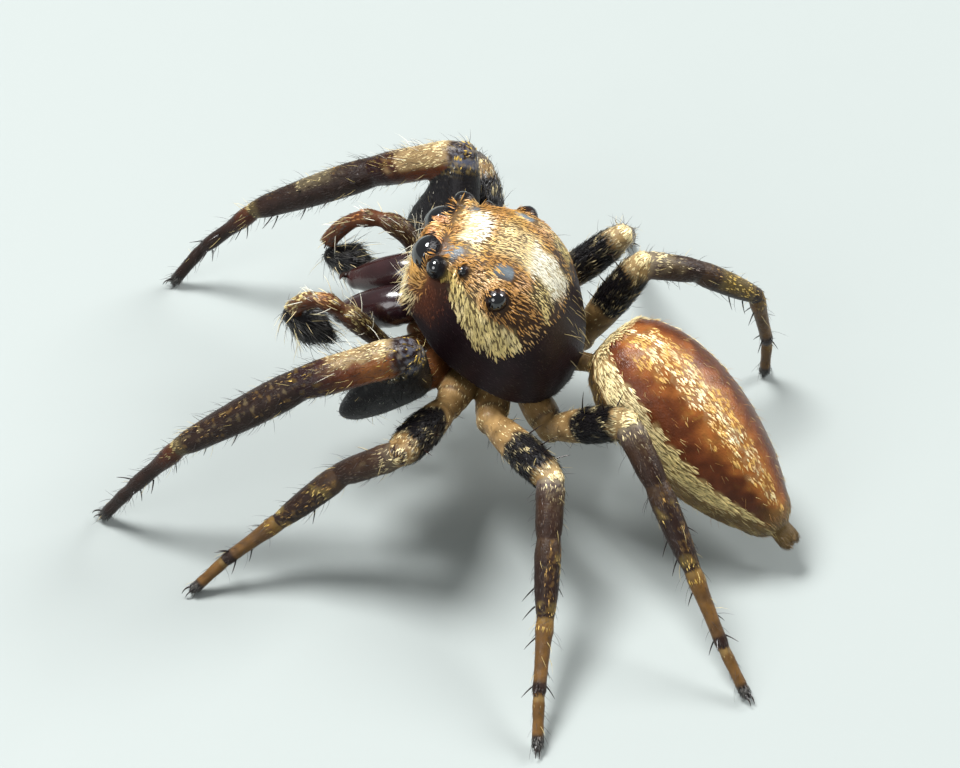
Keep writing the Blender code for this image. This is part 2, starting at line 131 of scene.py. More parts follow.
def spline(points: Sequence[Sequence[float]], count: int) -> np.ndarray:
    """Cubic B-spline that starts and ends on its end points, read at evenly spaced parameters.

    Args:
        points: Control points.
        count: How many points to read.

    Returns:
        Points along the curve.
    """
    control = np.asarray(points, float)
    inner = len(control) - 3
    knots = np.concatenate(([0.0] * 3, np.linspace(0, 1, inner + 1), [1.0] * 3))
    made = []
    for t in np.linspace(0, 1 - 1e-9, count):
        k = min(int(np.searchsorted(knots, t, side="right")) - 1, len(control) - 1)
        work = [control[k - 3 + j].copy() for j in range(4)]
        for level in range(1, 4):
            for j in range(3, level - 1, -1):
                low = knots[k - 3 + j]
                share = (t - low) / (knots[j + 1 + k - level] - low)
                work[j] = (1 - share) * work[j - 1] + share * work[j]
        made.append(work[3])
    return np.array(made)


def add_object(name: str, data: bpy.types.ID) -> bpy.types.Object:
    """Make an object and put it in the scene.

    Args:
        name: The object's name.
        data: Its mesh, lamp or camera.

    Returns:
        The object.
    """
    made = bpy.data.objects.new(name, data)
    bpy.context.scene.collection.objects.link(made)
    return made


def node_centre(name: str) -> np.ndarray:
    """Middle of a solid's box, in millimetres."""
    low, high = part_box(name)
    return np.array((low + high) / 2) / MM


# ---- anatomy --------------------

class Region(IntEnum):
    """Which part of the body a patch of skin belongs to."""
    SHIELD = 0
    UNDER = 1
    WAIST = 2
    ABDOMEN = 3
    SPINNERET = 4
    FEELER = 5
    BULB = 6
    COXA = 7
    FEMUR = 8
    PATELLA = 9
    TIBIA = 10
    METATARSUS = 11
    TARSUS = 12


SIDES = ("left", "right")


@dataclass
class Stance:
    """Frame of the tilted front body and of the whole animal, placed by the rear eyes' solids."""
    pitch: float = 18.5
    rim_height: float = 1.88
    rear_eyes: tuple[float, float, float] = (0.0, -0.290, 1.090)

    def __post_init__(self) -> None:
        """Work out the turn of the front body and where its frame stands."""
        a = math.radians(-self.pitch)
        self.turn = np.array([[1, 0, 0], [0, math.cos(a), -math.sin(a)], [0, math.sin(a), math.cos(a)]])
        eyes = [node_centre(f"eye_posterior_lateral_{side}") for side in SIDES]
        self.origin = np.mean(eyes, axis=0) - self.turn @ np.array(self.rear_eyes)
        self.slide = self.origin - np.array((0.0, 0.0, self.rim_height))

    def body(self, points: object) -> np.ndarray:
        """Carry points of the front body's frame to model axes."""
        return np.asarray(points, float) @ self.turn.T + self.origin

    def unbody(self, points: np.ndarray) -> np.ndarray:
        """Carry model points back to the front body's frame."""
        return (points - self.origin) @ self.turn

    def place(self, points: object) -> np.ndarray:
        """Carry points of the animal's upright frame to model axes."""
        return np.asarray(points, float) + self.slide


def mirrored(point: Sequence[float], side: str) -> tuple[float, float, float]:
    """Left-hand points are stored; the right side mirrors them."""
    return (point[0] if side == "left" else -point[0], point[1], point[2])


@dataclass
class Limb:
    """One leg: its joints from the inner end of the coxa to the foot."""
    side: str
    number: int
    joints: np.ndarray
    runs: np.ndarray
    hinge: np.ndarray

    @property
    def index(self) -> int:
        """Number of the leg among the eight, left ones first."""
        return SIDES.index(self.side) * 4 + self.number - 1

    def axes(self, piece: int) -> tuple[np.ndarray, np.ndarray, np.ndarray]:
        """Run, sideways and upper directions of a piece, with the coxa as piece 0.

        Args:
            piece: Number of the piece, with the coxa as 0.

        Returns:
            Three unit vectors.
        """
        run = self.runs[piece]
        across = unit(self.hinge - run * (self.hinge @ run)) if piece else unit(np.cross(run, (0, 0, 1.0)))
        return run, across, np.cross(run, across) if piece else np.cross(across, run)


@dataclass
class LegPlan:
    """The eight legs' sizes and pose."""
    hips: tuple = ((1.02, -0.68, -0.43), (1.14, -0.21, -0.42), (1.08, 0.32, -0.42), (0.80, 1.02, -0.40))
    roots: tuple = ((0.42, -0.42, -0.42), (0.46, -0.12, -0.44), (0.46, 0.22, -0.44), (0.32, 0.58, -0.42))
    lengths: tuple = ((1.37, 1.27, 1.71, 1.02, 0.60), (1.43, 0.80, 1.01, 0.79, 0.50),
                      (1.31, 0.70, 0.90, 0.88, 0.56), (1.44, 0.76, 1.05, 0.96, 0.58))
    pose: dict = field(default_factory=lambda: {
        ("left", 1): ((96, 59), (18, -22), (18, -36), (15, -51), (3, -58)),
        ("left", 2): ((80, 19), (5, -37), (24, -45), (35, -35), (43, -37)),
        ("left", 3): ((136, 10), (103, -29), (103, -33), (100, -27), (104, -33)),
        ("left", 4): ((151, 40), (138, -34), (136, -37), (135, -38), (138, -34)),
        ("right", 1): ((76, 49), (2, -27), (-9, -29), (-12, -46), (-28, -53)),
        ("right", 2): ((67, 23), (69, -33), (72, -40), (73, -45), (75, -50)),
        ("right", 3): ((149, 37), (85, -42), (85, -43), (84, -46), (85, -44)),
        ("right", 4): ((170, 64), (150, -20), (148, -36), (136, -72), (116, -84)),
    })
    foot_height: float = 0.10
    droop_limit: float = 20.0
    steepest: float = 88.0

    def limb(self, stance: Stance, side: str, number: int) -> Limb:
        """Joints of one leg, with its free part turned down until the foot is on the floor.

        Args:
            stance: How the front body stands.
            side: Left or right.
            number: Number of the pair, 1 to 4.

        Returns:
            The leg.
        """
        sign = 1.0 if side == "left" else -1.0
        hip = stance.body(mirrored(self.hips[number - 1], side))
        root = stance.body(mirrored(self.roots[number - 1], side))

        def chain(droop: float) -> list[np.ndarray]:
            """Joints with the free part turned down.

            Args:
                droop: Degrees taken off the pitch of every piece after the femur.

            Returns:
                The joints from the root to the foot.
            """
            joints = [root, hip]
            for k, ((azimuth, pitch), length) in enumerate(zip(self.pose[side, number],
                                                               self.lengths[number - 1])):
                a = math.radians(azimuth)
                p = math.radians(pitch if k == 0 else max(pitch - droop, -self.steepest))
                way = np.array((sign * math.sin(a) * math.cos(p), -math.cos(a) * math.cos(p), math.sin(p)))
                joints.append(joints[-1] + way * length)
            return joints

        low, high = -self.droop_limit, self.droop_limit
        for _ in range(50):
            middle = (low + high) / 2
            low, high = (middle, high) if chain(middle)[-1][2] > self.foot_height else (low, middle)
        joints = np.array(chain((low + high) / 2))
        runs = unit(np.diff(joints, axis=0))
        return Limb(side, number, joints, runs, unit(np.cross(runs[1], runs[2])))


def loft_faces(rows: int, sides: int) -> tuple[np.ndarray, np.ndarray]:
    """Faces of a row of rings that is closed round a middle point at each end.

    Args:
        rows: Number of rings.
        sides: Points in each ring.

    Returns:
        Quads between the rings, and triangles of the ends. The two middles follow the last ring.
    """
    around = np.arange(sides)
    beside = (around + 1) % sides
    quads = np.vstack([np.stack([around, beside, beside + sides, around + sides], axis=1) + row * sides
                       for row in range(rows - 1)])
    end, count = (rows - 1) * sides, rows * sides
    caps = np.vstack((np.stack([beside, around, np.full(sides, count)], axis=1),
                      np.stack([around + end, beside + end, np.full(sides, count + 1)], axis=1)))
    return quads, caps


def halved(quads: np.ndarray) -> np.ndarray:
    """Two triangles for each quad."""
    return np.vstack((quads[:, :3], quads[:, [0, 2, 3]]))


def rings_along(route: np.ndarray, radius: np.ndarray, sides: int, aside: Sequence[float]) -> np.ndarray:
    """Round rings kept square to a route.

    Args:
        route: Centres of the rings.
        radius: Radius of each ring.
        sides: Points in each ring.
        aside: Any direction across the start of the route.

    Returns:
        Array of rings, points in each ring, and coordinates.
    """
    tangents = unit(np.gradient(route, axis=0))
    side = unit(np.cross(tangents[0], aside))
    lap = np.linspace(0, math.tau, sides, endpoint=False)
    rings = []
    for centre, tangent, r in zip(route, tangents, radius):
        side = unit(side - tangent * (side @ tangent))
        over = np.cross(tangent, side)
        rings.append(centre + r * (np.cos(lap)[:, None] * side + np.sin(lap)[:, None] * over))
    return np.array(rings)


@dataclass
class Mould:
    """Closed lofts that overlap and are cast into one skin."""
    points: list = field(default_factory=list)
    faces: list = field(default_factory=list)
    labels: list = field(default_factory=list)
    count: int = 0

    def add_rings(self, rings: np.ndarray, region: Region, limb: int = -1) -> None:
        """Skin a row of closed rings and close each end round its middle.

        Args:
            rings: Array of rings, points in each ring, and coordinates.
            region: Part of the body that the loft belongs to.
            limb: Number of its leg or feeler, or -1.
        """
        rows, sides = rings.shape[:2]
        self.points.append(rings.reshape(-1, 3))
        self.points.append(np.array([rings[0].mean(axis=0), rings[-1].mean(axis=0)]))
        for faces in loft_faces(rows, sides):
            self.faces += (faces + self.count).tolist()
            self.labels += [(int(region), limb)] * len(faces)
        self.count += rows * sides + 2

    def add_rod(self, start: np.ndarray, end: np.ndarray, keys: Sequence[Sequence[float]], region: Region,
                limb: int = -1, across: np.ndarray | None = None, sides: int = 28) -> None:
        """A rod with round ends whose radius follows (share, radius) keys.

        Args:
            start: Centre of the first ball end.
            end: Centre of the last ball end.
            keys: Radius at shares of the length.
            region: Part of the body.
            limb: Number of its leg or feeler, or -1.
            across: Direction of the rod's width.
            sides: Points in each ring.
        """
        run = unit(end - start)
        length = float(np.linalg.norm(end - start))
        across = np.array((0, 0, 1.0)) if across is None else across
        width = unit(across - run * (across @ run))
        over = np.cross(run, width)
        cap = np.radians(np.linspace(84, 14, 6))
        first, last = keys[0][1], keys[-1][1]
        inner = np.linspace(0, 1, 26)
        place = np.concatenate((-first * np.sin(cap), inner * length, length + last * np.sin(cap[::-1])))
        radius = np.concatenate((first * np.cos(cap), curve_through(keys, inner)[:, 0],
                                 last * np.cos(cap[::-1])))
        turn = np.linspace(0, math.tau, sides, endpoint=False)
        circle = np.cos(turn)[:, None] * width + np.sin(turn)[:, None] * over
        self.add_rings((start + place[:, None] * run)[:, None, :] + radius[:, None, None] * circle, region,
                       limb)

    def add_ball(self, centre: np.ndarray, radii: Sequence[float], region: Region, limb: int = -1,
                 turn: np.ndarray | None = None) -> None:
        """An ellipsoid with its radii along the columns of a turn.

        Args:
            centre: Its middle.
            radii: Its three radii.
            region: Part of the body that it belongs to.
            limb: Number of its leg or feeler, or -1.
            turn: Columns that give its axes, or None for the model's own.
        """
        axes = np.eye(3) if turn is None else turn
        rise = np.radians(np.linspace(-82, 82, 18))
        lap = np.linspace(0, math.tau, 28, endpoint=False)
        local = np.stack([np.cos(rise)[:, None] * np.cos(lap), np.cos(rise)[:, None] * np.sin(lap),
                          np.repeat(np.sin(rise)[:, None], len(lap), axis=1)], axis=-1) * np.array(radii)
        self.add_rings(local @ axes.T + centre, region, limb)

    def add_route(self, route: np.ndarray, keys: Sequence[Sequence[float]], region: Region,
                  limb: int) -> None:
        """A round tube along a curved route, with rings kept square to it."""
        radius = curve_through(keys, np.linspace(0, 1, len(route)))[:, 0]
        self.add_rings(rings_along(route, radius, 24, (1.0, 0, 0)), region, limb)


# ---- sub-assemblies of the skin --------------------

@dataclass
class HeadShield:
    """Arched shield with a boss round each eye."""
    stations: tuple = (
        (-1.31, 0.36, 0.90, 0.46, 2.2), (-1.26, 0.52, 1.02, 0.34, 2.5), (-1.12, 0.65, 1.14, 0.24, 2.9),
        (-0.92, 0.75, 1.25, 0.12, 3.0), (-0.62, 0.87, 1.36, -0.02, 3.1), (-0.28, 0.98, 1.40, -0.06, 3.0),
        (0.06, 1.05, 1.33, -0.07, 2.6), (0.36, 1.05, 1.13, -0.07, 2.3), (0.60, 0.96, 0.85, -0.06, 2.1),
        (0.79, 0.80, 0.56, -0.03, 2.0), (0.93, 0.56, 0.34, 0.00, 2.0), (0.99, 0.34, 0.22, 0.00, 2.0))
    eyes: dict = field(default_factory=lambda: {
        "anterior_median": ((0.262, -1.130, 0.845), 0.250),
        "anterior_lateral": ((0.590, -1.045, 1.010), 0.128),
        "posterior_median": ((0.575, -0.765, 1.122), 0.070),
        "posterior_lateral": ((0.735, -0.290, 1.092), 0.134)})
    coat_depth: float = 0.022
    # eye: how far the boss stands outside the lens, and how far back it sits
    bosses: dict = field(default_factory=lambda: {
        "anterior_median": (0.022, 0.050), "anterior_lateral": (0.016, 0.022),
        "posterior_median": (0.014, 0.018), "posterior_lateral": (0.014, 0.024)})
    rows: int = 90
    sides: int = 96

    def cast(self, mould: Mould, stance: Stance) -> None:
        """Add the shield and its eye bosses to the mould.

        Args:
            mould: Mould that takes the lofts.
            stance: How the front body stands.
        """
        low, high = self.stations[0][0], self.stations[-1][0]
        y = low + (high - low) * (1 - np.cos(np.linspace(0, math.pi, self.rows))) / 2
        half, top, under, power = curve_through(self.stations, y).T
        half, top = half - self.coat_depth, top - self.coat_depth
        turn = np.linspace(0, math.pi, self.sides // 2)
        c, s = np.cos(turn)[None, :], np.sin(turn)[None, :]
        p = 2 / power[:, None]
        x = half[:, None] * np.sign(c) * np.abs(c) ** p
        z = under[:, None] + (top - under)[:, None] * np.abs(s) ** p
        back = np.linspace(-1, 1, self.sides // 2 + 2)[1:-1]
        x2 = half[:, None] * 0.96 * back[None, :]
        z2 = under[:, None] - 0.05 * (1 - back[None, :] ** 2)
        rings = np.stack([np.hstack((x, x2)), np.repeat(y[:, None], x.shape[1] + x2.shape[1], axis=1),
                          np.hstack((z, z2))], axis=-1)
        mould.add_rings(stance.body(rings), Region.SHIELD)
        for name, (centre, radius) in self.eyes.items():
            rim, sink = self.bosses[name]
            for side in SIDES:
                place = np.array(mirrored(centre, side))
                outward = self.gaze(name, place)
                mould.add_ball(stance.body(place - outward * sink), (radius + rim,) * 3, Region.SHIELD)
                mould.add_ball(stance.body(place - outward * (sink + radius * 0.5)), (radius + rim,) * 3,
                               Region.SHIELD)

    @staticmethod
    def gaze(name: str, place: np.ndarray) -> np.ndarray:
        """Direction in which an eye looks, in the front body's frame.

        Args:
            name: Name of the eye without its side.
            place: Centre of the eye.

        Returns:
            A unit vector.
        """
        if name == "anterior_median":
            return unit(np.array((0.10 * np.sign(place[0]), -1.0, 0.05)))
        return unit(place - np.array((0.0, -0.45, 0.55)))


@dataclass
class Underside:
    """Breastplate, leg roots, mouthparts and the narrow waist."""
    plate_centre: tuple = (0.0, 0.05, -0.36)
    plate_radii: tuple = (0.46, 0.74, 0.22)
    coxa: tuple = ((0.0, 0.17), (0.35, 0.20), (0.8, 0.195), (1.0, 0.16))
    trochanter: float = 0.175
    mouth: tuple = ((0.16, -0.55, -0.36), (0.24, -0.90, -0.42))
    feeler_root: tuple = (0.26, -0.66, -0.42)
    waist: tuple = ((0.0, 0.84, -0.06), (0.03, 1.58, 0.28))

    def cast(self, mould: Mould, stance: Stance, limbs: Sequence[Limb], feelers: "Feelers") -> None:
        """Add the parts below the shield to the mould.

        Args:
            mould: Mould that takes the lofts.
            stance: How the front body stands.
            limbs: The eight legs.
            feelers: The two feelers.
        """
        mould.add_ball(stance.body(self.plate_centre), self.plate_radii, Region.UNDER, turn=stance.turn)
        mould.add_ball(stance.body((0.0, -0.50, -0.20)), (0.40, 0.42, 0.26), Region.UNDER, turn=stance.turn)
        for limb in limbs:
            mould.add_rod(limb.joints[0], limb.joints[1], self.coxa, Region.COXA, limb.index)
            mould.add_ball(limb.joints[1], (self.trochanter,) * 3, Region.COXA, limb.index)
        for side in SIDES:
            ends = [stance.body(mirrored(point, side)) for point in self.mouth]
            mould.add_rod(*ends, ((0.0, 0.12), (0.6, 0.15), (1.0, 0.11)), Region.UNDER)
            arm = feelers.routes[SIDES.index(side)]
            mould.add_rod(stance.body(mirrored(self.feeler_root, side)), arm[4], ((0.0, 0.12), (1.0, 0.12)),
                          Region.UNDER)
        mould.add_rod(stance.body((0.0, -0.45, -0.47)), stance.body((0.0, -0.66, -0.44)),
                      ((0.0, 0.12), (1.0, 0.08)), Region.UNDER)
        start, end = (stance.body(point) for point in self.waist)
        mould.add_rod(start, end, ((0.0, 0.14), (0.5, 0.11), (1.0, 0.14)), Region.WAIST)


@dataclass
class Abdomen:
    """Long oval abdomen with its spinnerets."""
    front: tuple = (-0.04, 1.26, 2.10)
    rear: tuple = (1.04, 3.82, 0.46)
    profile: tuple = ((0.0, 0.0), (0.012, 0.28), (0.05, 0.50), (0.12, 0.66), (0.22, 0.77), (0.35, 0.82),
                      (0.50, 0.80), (0.63, 0.72), (0.75, 0.60), (0.86, 0.44), (0.95, 0.26), (1.0, 0.0))
    flatten: float = 0.94
    coat_depth: float = 0.045
    # rows of (sideways, down, beyond the end, radius)
    spinnerets: tuple = ((0.080, 0.0, 0.035, 0.078), (0.055, 0.070, 0.025, 0.070),
                         (0.0, -0.040, 0.020, 0.074))

    def settle(self, stance: Stance) -> None:
        """Fix the axis in model space.

        Args:
            stance: How the front body stands.
        """
        self.start, self.end = stance.place(self.front), stance.place(self.rear)
        self.length = float(np.linalg.norm(self.end - self.start))
        self.run = unit(self.end - self.start)
        self.side = unit(np.cross(self.run, (0, 0, 1.0)))
        self.top = np.cross(self.side, self.run)

    def cast(self, mould: Mould) -> None:
        """Add the abdomen and five spinnerets to the mould.

        Args:
            mould: Mould that takes the lofts.
        """
        turn = np.linspace(0, math.pi, 84)
        share = (1 - np.cos(turn))[1:-1] / 2
        radius = np.maximum(curve_through(self.profile, share)[:, 0] - self.coat_depth, 0.02)
        inner = self.length - 2 * self.coat_depth
        place = self.start + self.run * (self.coat_depth + share[:, None] * inner)
        lap = np.linspace(0, math.tau, 84, endpoint=False)
        circle = np.cos(lap)[:, None] * self.side + np.sin(lap)[:, None] * self.top * self.flatten
        mould.add_rings(place[:, None, :] + radius[:, None, None] * circle, Region.ABDOMEN)
        for across, drop, reach, thick in self.spinnerets:
            for sign in (1, -1) if across else (1,):
                root = self.end - self.run * 0.22 + (self.side * sign * across * 0.6 - self.top * drop * 0.5)
                tip = self.end + self.run * reach + self.side * sign * across - self.top * drop
                mould.add_rod(root, tip, ((0.0, thick * 1.1), (0.7, thick), (1.0, thick * 0.85)),
                              Region.SPINNERET, sides=16)

    def coordinates(self, points: np.ndarray) -> tuple[np.ndarray, np.ndarray]:
        """Share of the length from the front, and degrees round from the top (left side negative)."""
        q = points - self.start
        return (q @ self.run) / self.length, np.degrees(np.arctan2(-(q @ self.side), q @ self.top))


@dataclass
class LegForms:
    """Radii of the leg segments beneath their coat, as (share of length, radius)."""
    slim: tuple = (
        ((0.0, 0.135), (0.10, 0.16), (0.40, 0.205), (0.72, 0.205), (0.93, 0.180), (1.0, 0.150)),
        ((0.0, 0.140), (0.12, 0.160), (0.50, 0.162), (0.86, 0.152), (1.0, 0.136)),
        ((0.0, 0.132), (0.12, 0.148), (0.45, 0.148), (0.85, 0.122), (1.0, 0.102)),
        ((0.0, 0.096), (0.10, 0.106), (0.35, 0.092), (0.86, 0.080), (0.94, 0.082), (1.0, 0.070)),
        ((0.0, 0.060), (0.12, 0.070), (0.55, 0.066), (0.90, 0.066), (1.0, 0.058)))
    stout: tuple = (
        (),
        ((0.0, 0.175), (0.10, 0.208), (0.45, 0.218), (0.85, 0.208), (1.0, 0.188)),
        ((0.0, 0.184), (0.10, 0.200), (0.40, 0.200), (0.80, 0.160), (0.95, 0.135), (1.0, 0.115)),
        ((0.0, 0.092), (0.10, 0.112), (0.50, 0.090), (0.92, 0.082), (1.0, 0.066)),
        ((0.0, 0.066), (0.12, 0.078), (0.55, 0.074), (0.90, 0.072), (1.0, 0.062)))
    blade: tuple = ((-0.16, 0.05, 0.05, 0.07), (-0.10, 0.14, 0.13, 0.36), (0.04, 0.21, 0.20, 0.80),
                    (0.25, 0.24, 0.21, 0.96), (0.47, 0.24, 0.21, 0.86), (0.70, 0.23, 0.21, 0.56),
                    (0.90, 0.20, 0.19, 0.36), (0.99, 0.16, 0.14, 0.22), (1.03, 0.05, 0.03, 0.06))
    blade_twist: float = math.radians(16)
    membrane: float = 0.80

    def cast(self, mould: Mould, limb: Limb) -> None:
        """Add the five segments of one leg, with a narrow ball of soft skin at each joint.

        Args:
            mould: Mould that takes the lofts.
            limb: The leg.
        """
        for k in range(5):
            start, end = limb.joints[k + 1], limb.joints[k + 2]
            _, across, top = limb.axes(k + 1)
            region = Region(int(Region.FEMUR) + k)
            if limb.number == 1 and k == 0:
                self.cast_blade(mould, limb, start, end, across, top)
                continue
            keys = self.stout[k] if limb.number == 1 else self.slim[k]
            mould.add_rod(start, end, keys, region, limb.index, across=across)
            mould.add_ball(start, (keys[0][1] * self.membrane + 0.02,) * 3, region, limb.index)

    def cast_blade(self, mould: Mould, limb: Limb, start: np.ndarray, end: np.ndarray, across: np.ndarray,
                   top: np.ndarray) -> None:
        """Add the deep front femur, which hangs lower below its axis than above it and leans outwards.

        Args:
            mould: Mould that takes the lofts.
            limb: The leg.
            start: Hip joint.
            end: Knee joint.
            across: Direction of its width.
            top: Direction of its upper edge.
        """
        lean = self.blade_twist if limb.side == "left" else -self.blade_twist
        across, top = (across * math.cos(lean) + top * math.sin(lean),
                       top * math.cos(lean) - across * math.sin(lean))
        share = np.linspace(self.blade[0][0], self.blade[-1][0], 40)
        half, above, below = np.maximum(curve_through(self.blade, share), 0.02).T
        lap = np.linspace(0, math.tau, 40, endpoint=False)
        rise = np.sin(lap)[None, :]
        depth = np.where(rise > 0, above[:, None], below[:, None]) * rise
        width = half[:, None] * np.cos(lap)[None, :]
        spine = start + (end - start) * share[:, None]
        mould.add_rings(spine[:, None, :] + width[..., None] * across + depth[..., None] * top, Region.FEMUR,
                        limb.index)


@dataclass
class Feelers:
    """Two bent arms with swollen, hairy bulbs."""
    arms: dict = field(default_factory=lambda: {
        "left": ((0.66, -1.06, 1.66), (0.78, -1.36, 2.06), (0.82, -1.74, 2.48), (0.86, -2.10, 2.60),
                 (0.82, -2.33, 2.26)),
        "right": ((-0.67, -1.10, 1.70), (-0.82, -1.28, 2.26), (-0.84, -1.72, 2.50), (-0.82, -2.16, 2.32),
                  (-0.78, -2.38, 1.90))})
    bulbs: dict = field(default_factory=lambda: {
        "left": ((0.78, -2.34, 2.12), (0.70, -1.98, 1.84)),
        "right": ((-0.78, -2.30, 1.68), (-0.72, -1.88, 1.70))})
    arm_keys: tuple = ((0.0, 0.105), (0.15, 0.110), (0.42, 0.125), (0.50, 0.092), (0.62, 0.112),
                       (0.74, 0.092),
                       (0.88, 0.105), (1.0, 0.10))
    bulb_keys: tuple = ((0.0, 0.13), (0.35, 0.20), (0.65, 0.215), (1.0, 0.12))
    first_limb: int = 8

    def settle(self, stance: Stance) -> None:
        """Work out each arm's route and each bulb's ends in model space."""
        self.routes = [spline(stance.place(self.arms[side]), 60) for side in SIDES]
        self.ends = [stance.place(self.bulbs[side]) for side in SIDES]

    def cast(self, mould: Mould) -> None:
        """Add both feelers to the mould.

        Args:
            mould: Mould that takes the lofts.
        """
        for k, (route, (start, end)) in enumerate(zip(self.routes, self.ends)):
            mould.add_route(route, self.arm_keys, Region.FEELER, self.first_limb + k)
            mould.add_rod(start, end, self.bulb_keys, Region.BULB, self.first_limb + k,
                          across=np.array((1.0, 0, 0)), sides=32)

    def share(self, points: np.ndarray, k: int) -> tuple[np.ndarray, np.ndarray]:
        """Share along an arm and the arm's direction there, for each point.

        Args:
            points: Points in millimetres.
            k: Number of the feeler, 0 on the left and 1 on the right.

        Returns:
            Shares from 0 to 1, and unit vectors.
        """
        route = self.routes[k]
        nearest = np.argmin(((points[:, None, :] - route[None]) ** 2).sum(axis=2), axis=1)
        return nearest / (len(route) - 1), unit(np.gradient(route, axis=0))[nearest]


# ---- markings --------------------

@dataclass(frozen=True)
class Palette:
    """Named colours of cuticle and scales, and one painted reflection, linear."""
    black: Colour = (0.006, 0.005, 0.006)
    maroon: Colour = (0.011, 0.004, 0.006)
    umber: Colour = (0.036, 0.016, 0.008)
    mahogany: Colour = (0.060, 0.016, 0.006)
    chestnut: Colour = (0.132, 0.034, 0.011)
    copper: Colour = (0.290, 0.098, 0.022)
    red_brown: Colour = (0.105, 0.028, 0.009)
    dark_brown: Colour = (0.021, 0.010, 0.007)
    brown: Colour = (0.062, 0.034, 0.017)
    amber: Colour = (0.135, 0.066, 0.017)
    tan: Colour = (0.260, 0.155, 0.058)
    olive: Colour = (0.130, 0.078, 0.024)
    slate: Colour = (0.075, 0.080, 0.110)
    # painted reflection: blue-grey sheen of the pale surround on bare glossy cuticle
    reflected_surround: Colour = (0.125, 0.150, 0.168)
    lilac: Colour = (0.210, 0.175, 0.165)
    cream: Colour = (0.840, 0.690, 0.370)
    straw: Colour = (0.640, 0.500, 0.200)
    white: Colour = (0.900, 0.850, 0.690)
    gold: Colour = (0.640, 0.370, 0.095)
    bronze: Colour = (0.400, 0.190, 0.045)
    yellow: Colour = (0.700, 0.460, 0.080)
    rust: Colour = (0.430, 0.170, 0.040)
    grey: Colour = (0.060, 0.056, 0.050)


INK = Palette()


class Markings:
    """Everything that changes over the skin: colours, and how scales lie on it."""

    def __init__(self, count: int) -> None:
        """Start with plain dark cuticle everywhere.

        Args:
            count: Number of skin points.
        """
        self.cuticle = np.tile(np.array(INK.maroon), (count, 1))
        self.scale = np.tile(np.array(INK.gold), (count, 1))
        self.cover = np.zeros(count)
        self.reach = np.full(count, 0.10)
        self.breadth = np.full(count, 0.022)
        self.lift = np.full(count, 10.0)
        self.gloss = np.full(count, 0.6)
        self.flow = np.zeros((count, 3))

    def tint(self) -> np.ndarray:
        """Colour of the skin, with a little of its scales' colour where they are thick, darkened as painted
        shade in the gaps between scales.
        """
        share = (0.32 * np.clip(self.cover, 0, 1))[:, None]
        # the scales' colour enters at 0.45: painted shade in the gaps between the grown scales
        return self.cuticle * (1 - share) + self.scale * 0.45 * share


@dataclass
class Brush:
    """Paints the markings of some of the skin's points."""
    marks: Markings
    where: np.ndarray
    points: np.ndarray

    def blend(self, layer: str, value: Colour | float, mask: Mask) -> None:
        """Blend a colour or a number into one layer of the markings.

        Args:
            layer: The layer's name.
            value: What to blend in.
            mask: Share of it that each point takes.
        """
        target = getattr(self.marks, layer)
        share = np.clip(mask, 0, 1) * np.ones(len(self.where))
        share = share[:, None] if target.ndim > 1 else share
        target[self.where] = target[self.where] * (1 - share) + np.array(value) * share

    def on(self, mask: Mask, **layers: Colour | float) -> None:
        """Blend values into the named layers where a mask says."""
        for layer, value in layers.items():
            self.blend(layer, value, mask)

    def all(self, **layers: Colour | float) -> None:
        """Blend values into the named layers everywhere."""
        self.on(1.0, **layers)

    def lay(self, flow: np.ndarray) -> None:
        """Set the way the scales point."""
        self.marks.flow[self.where] = flow


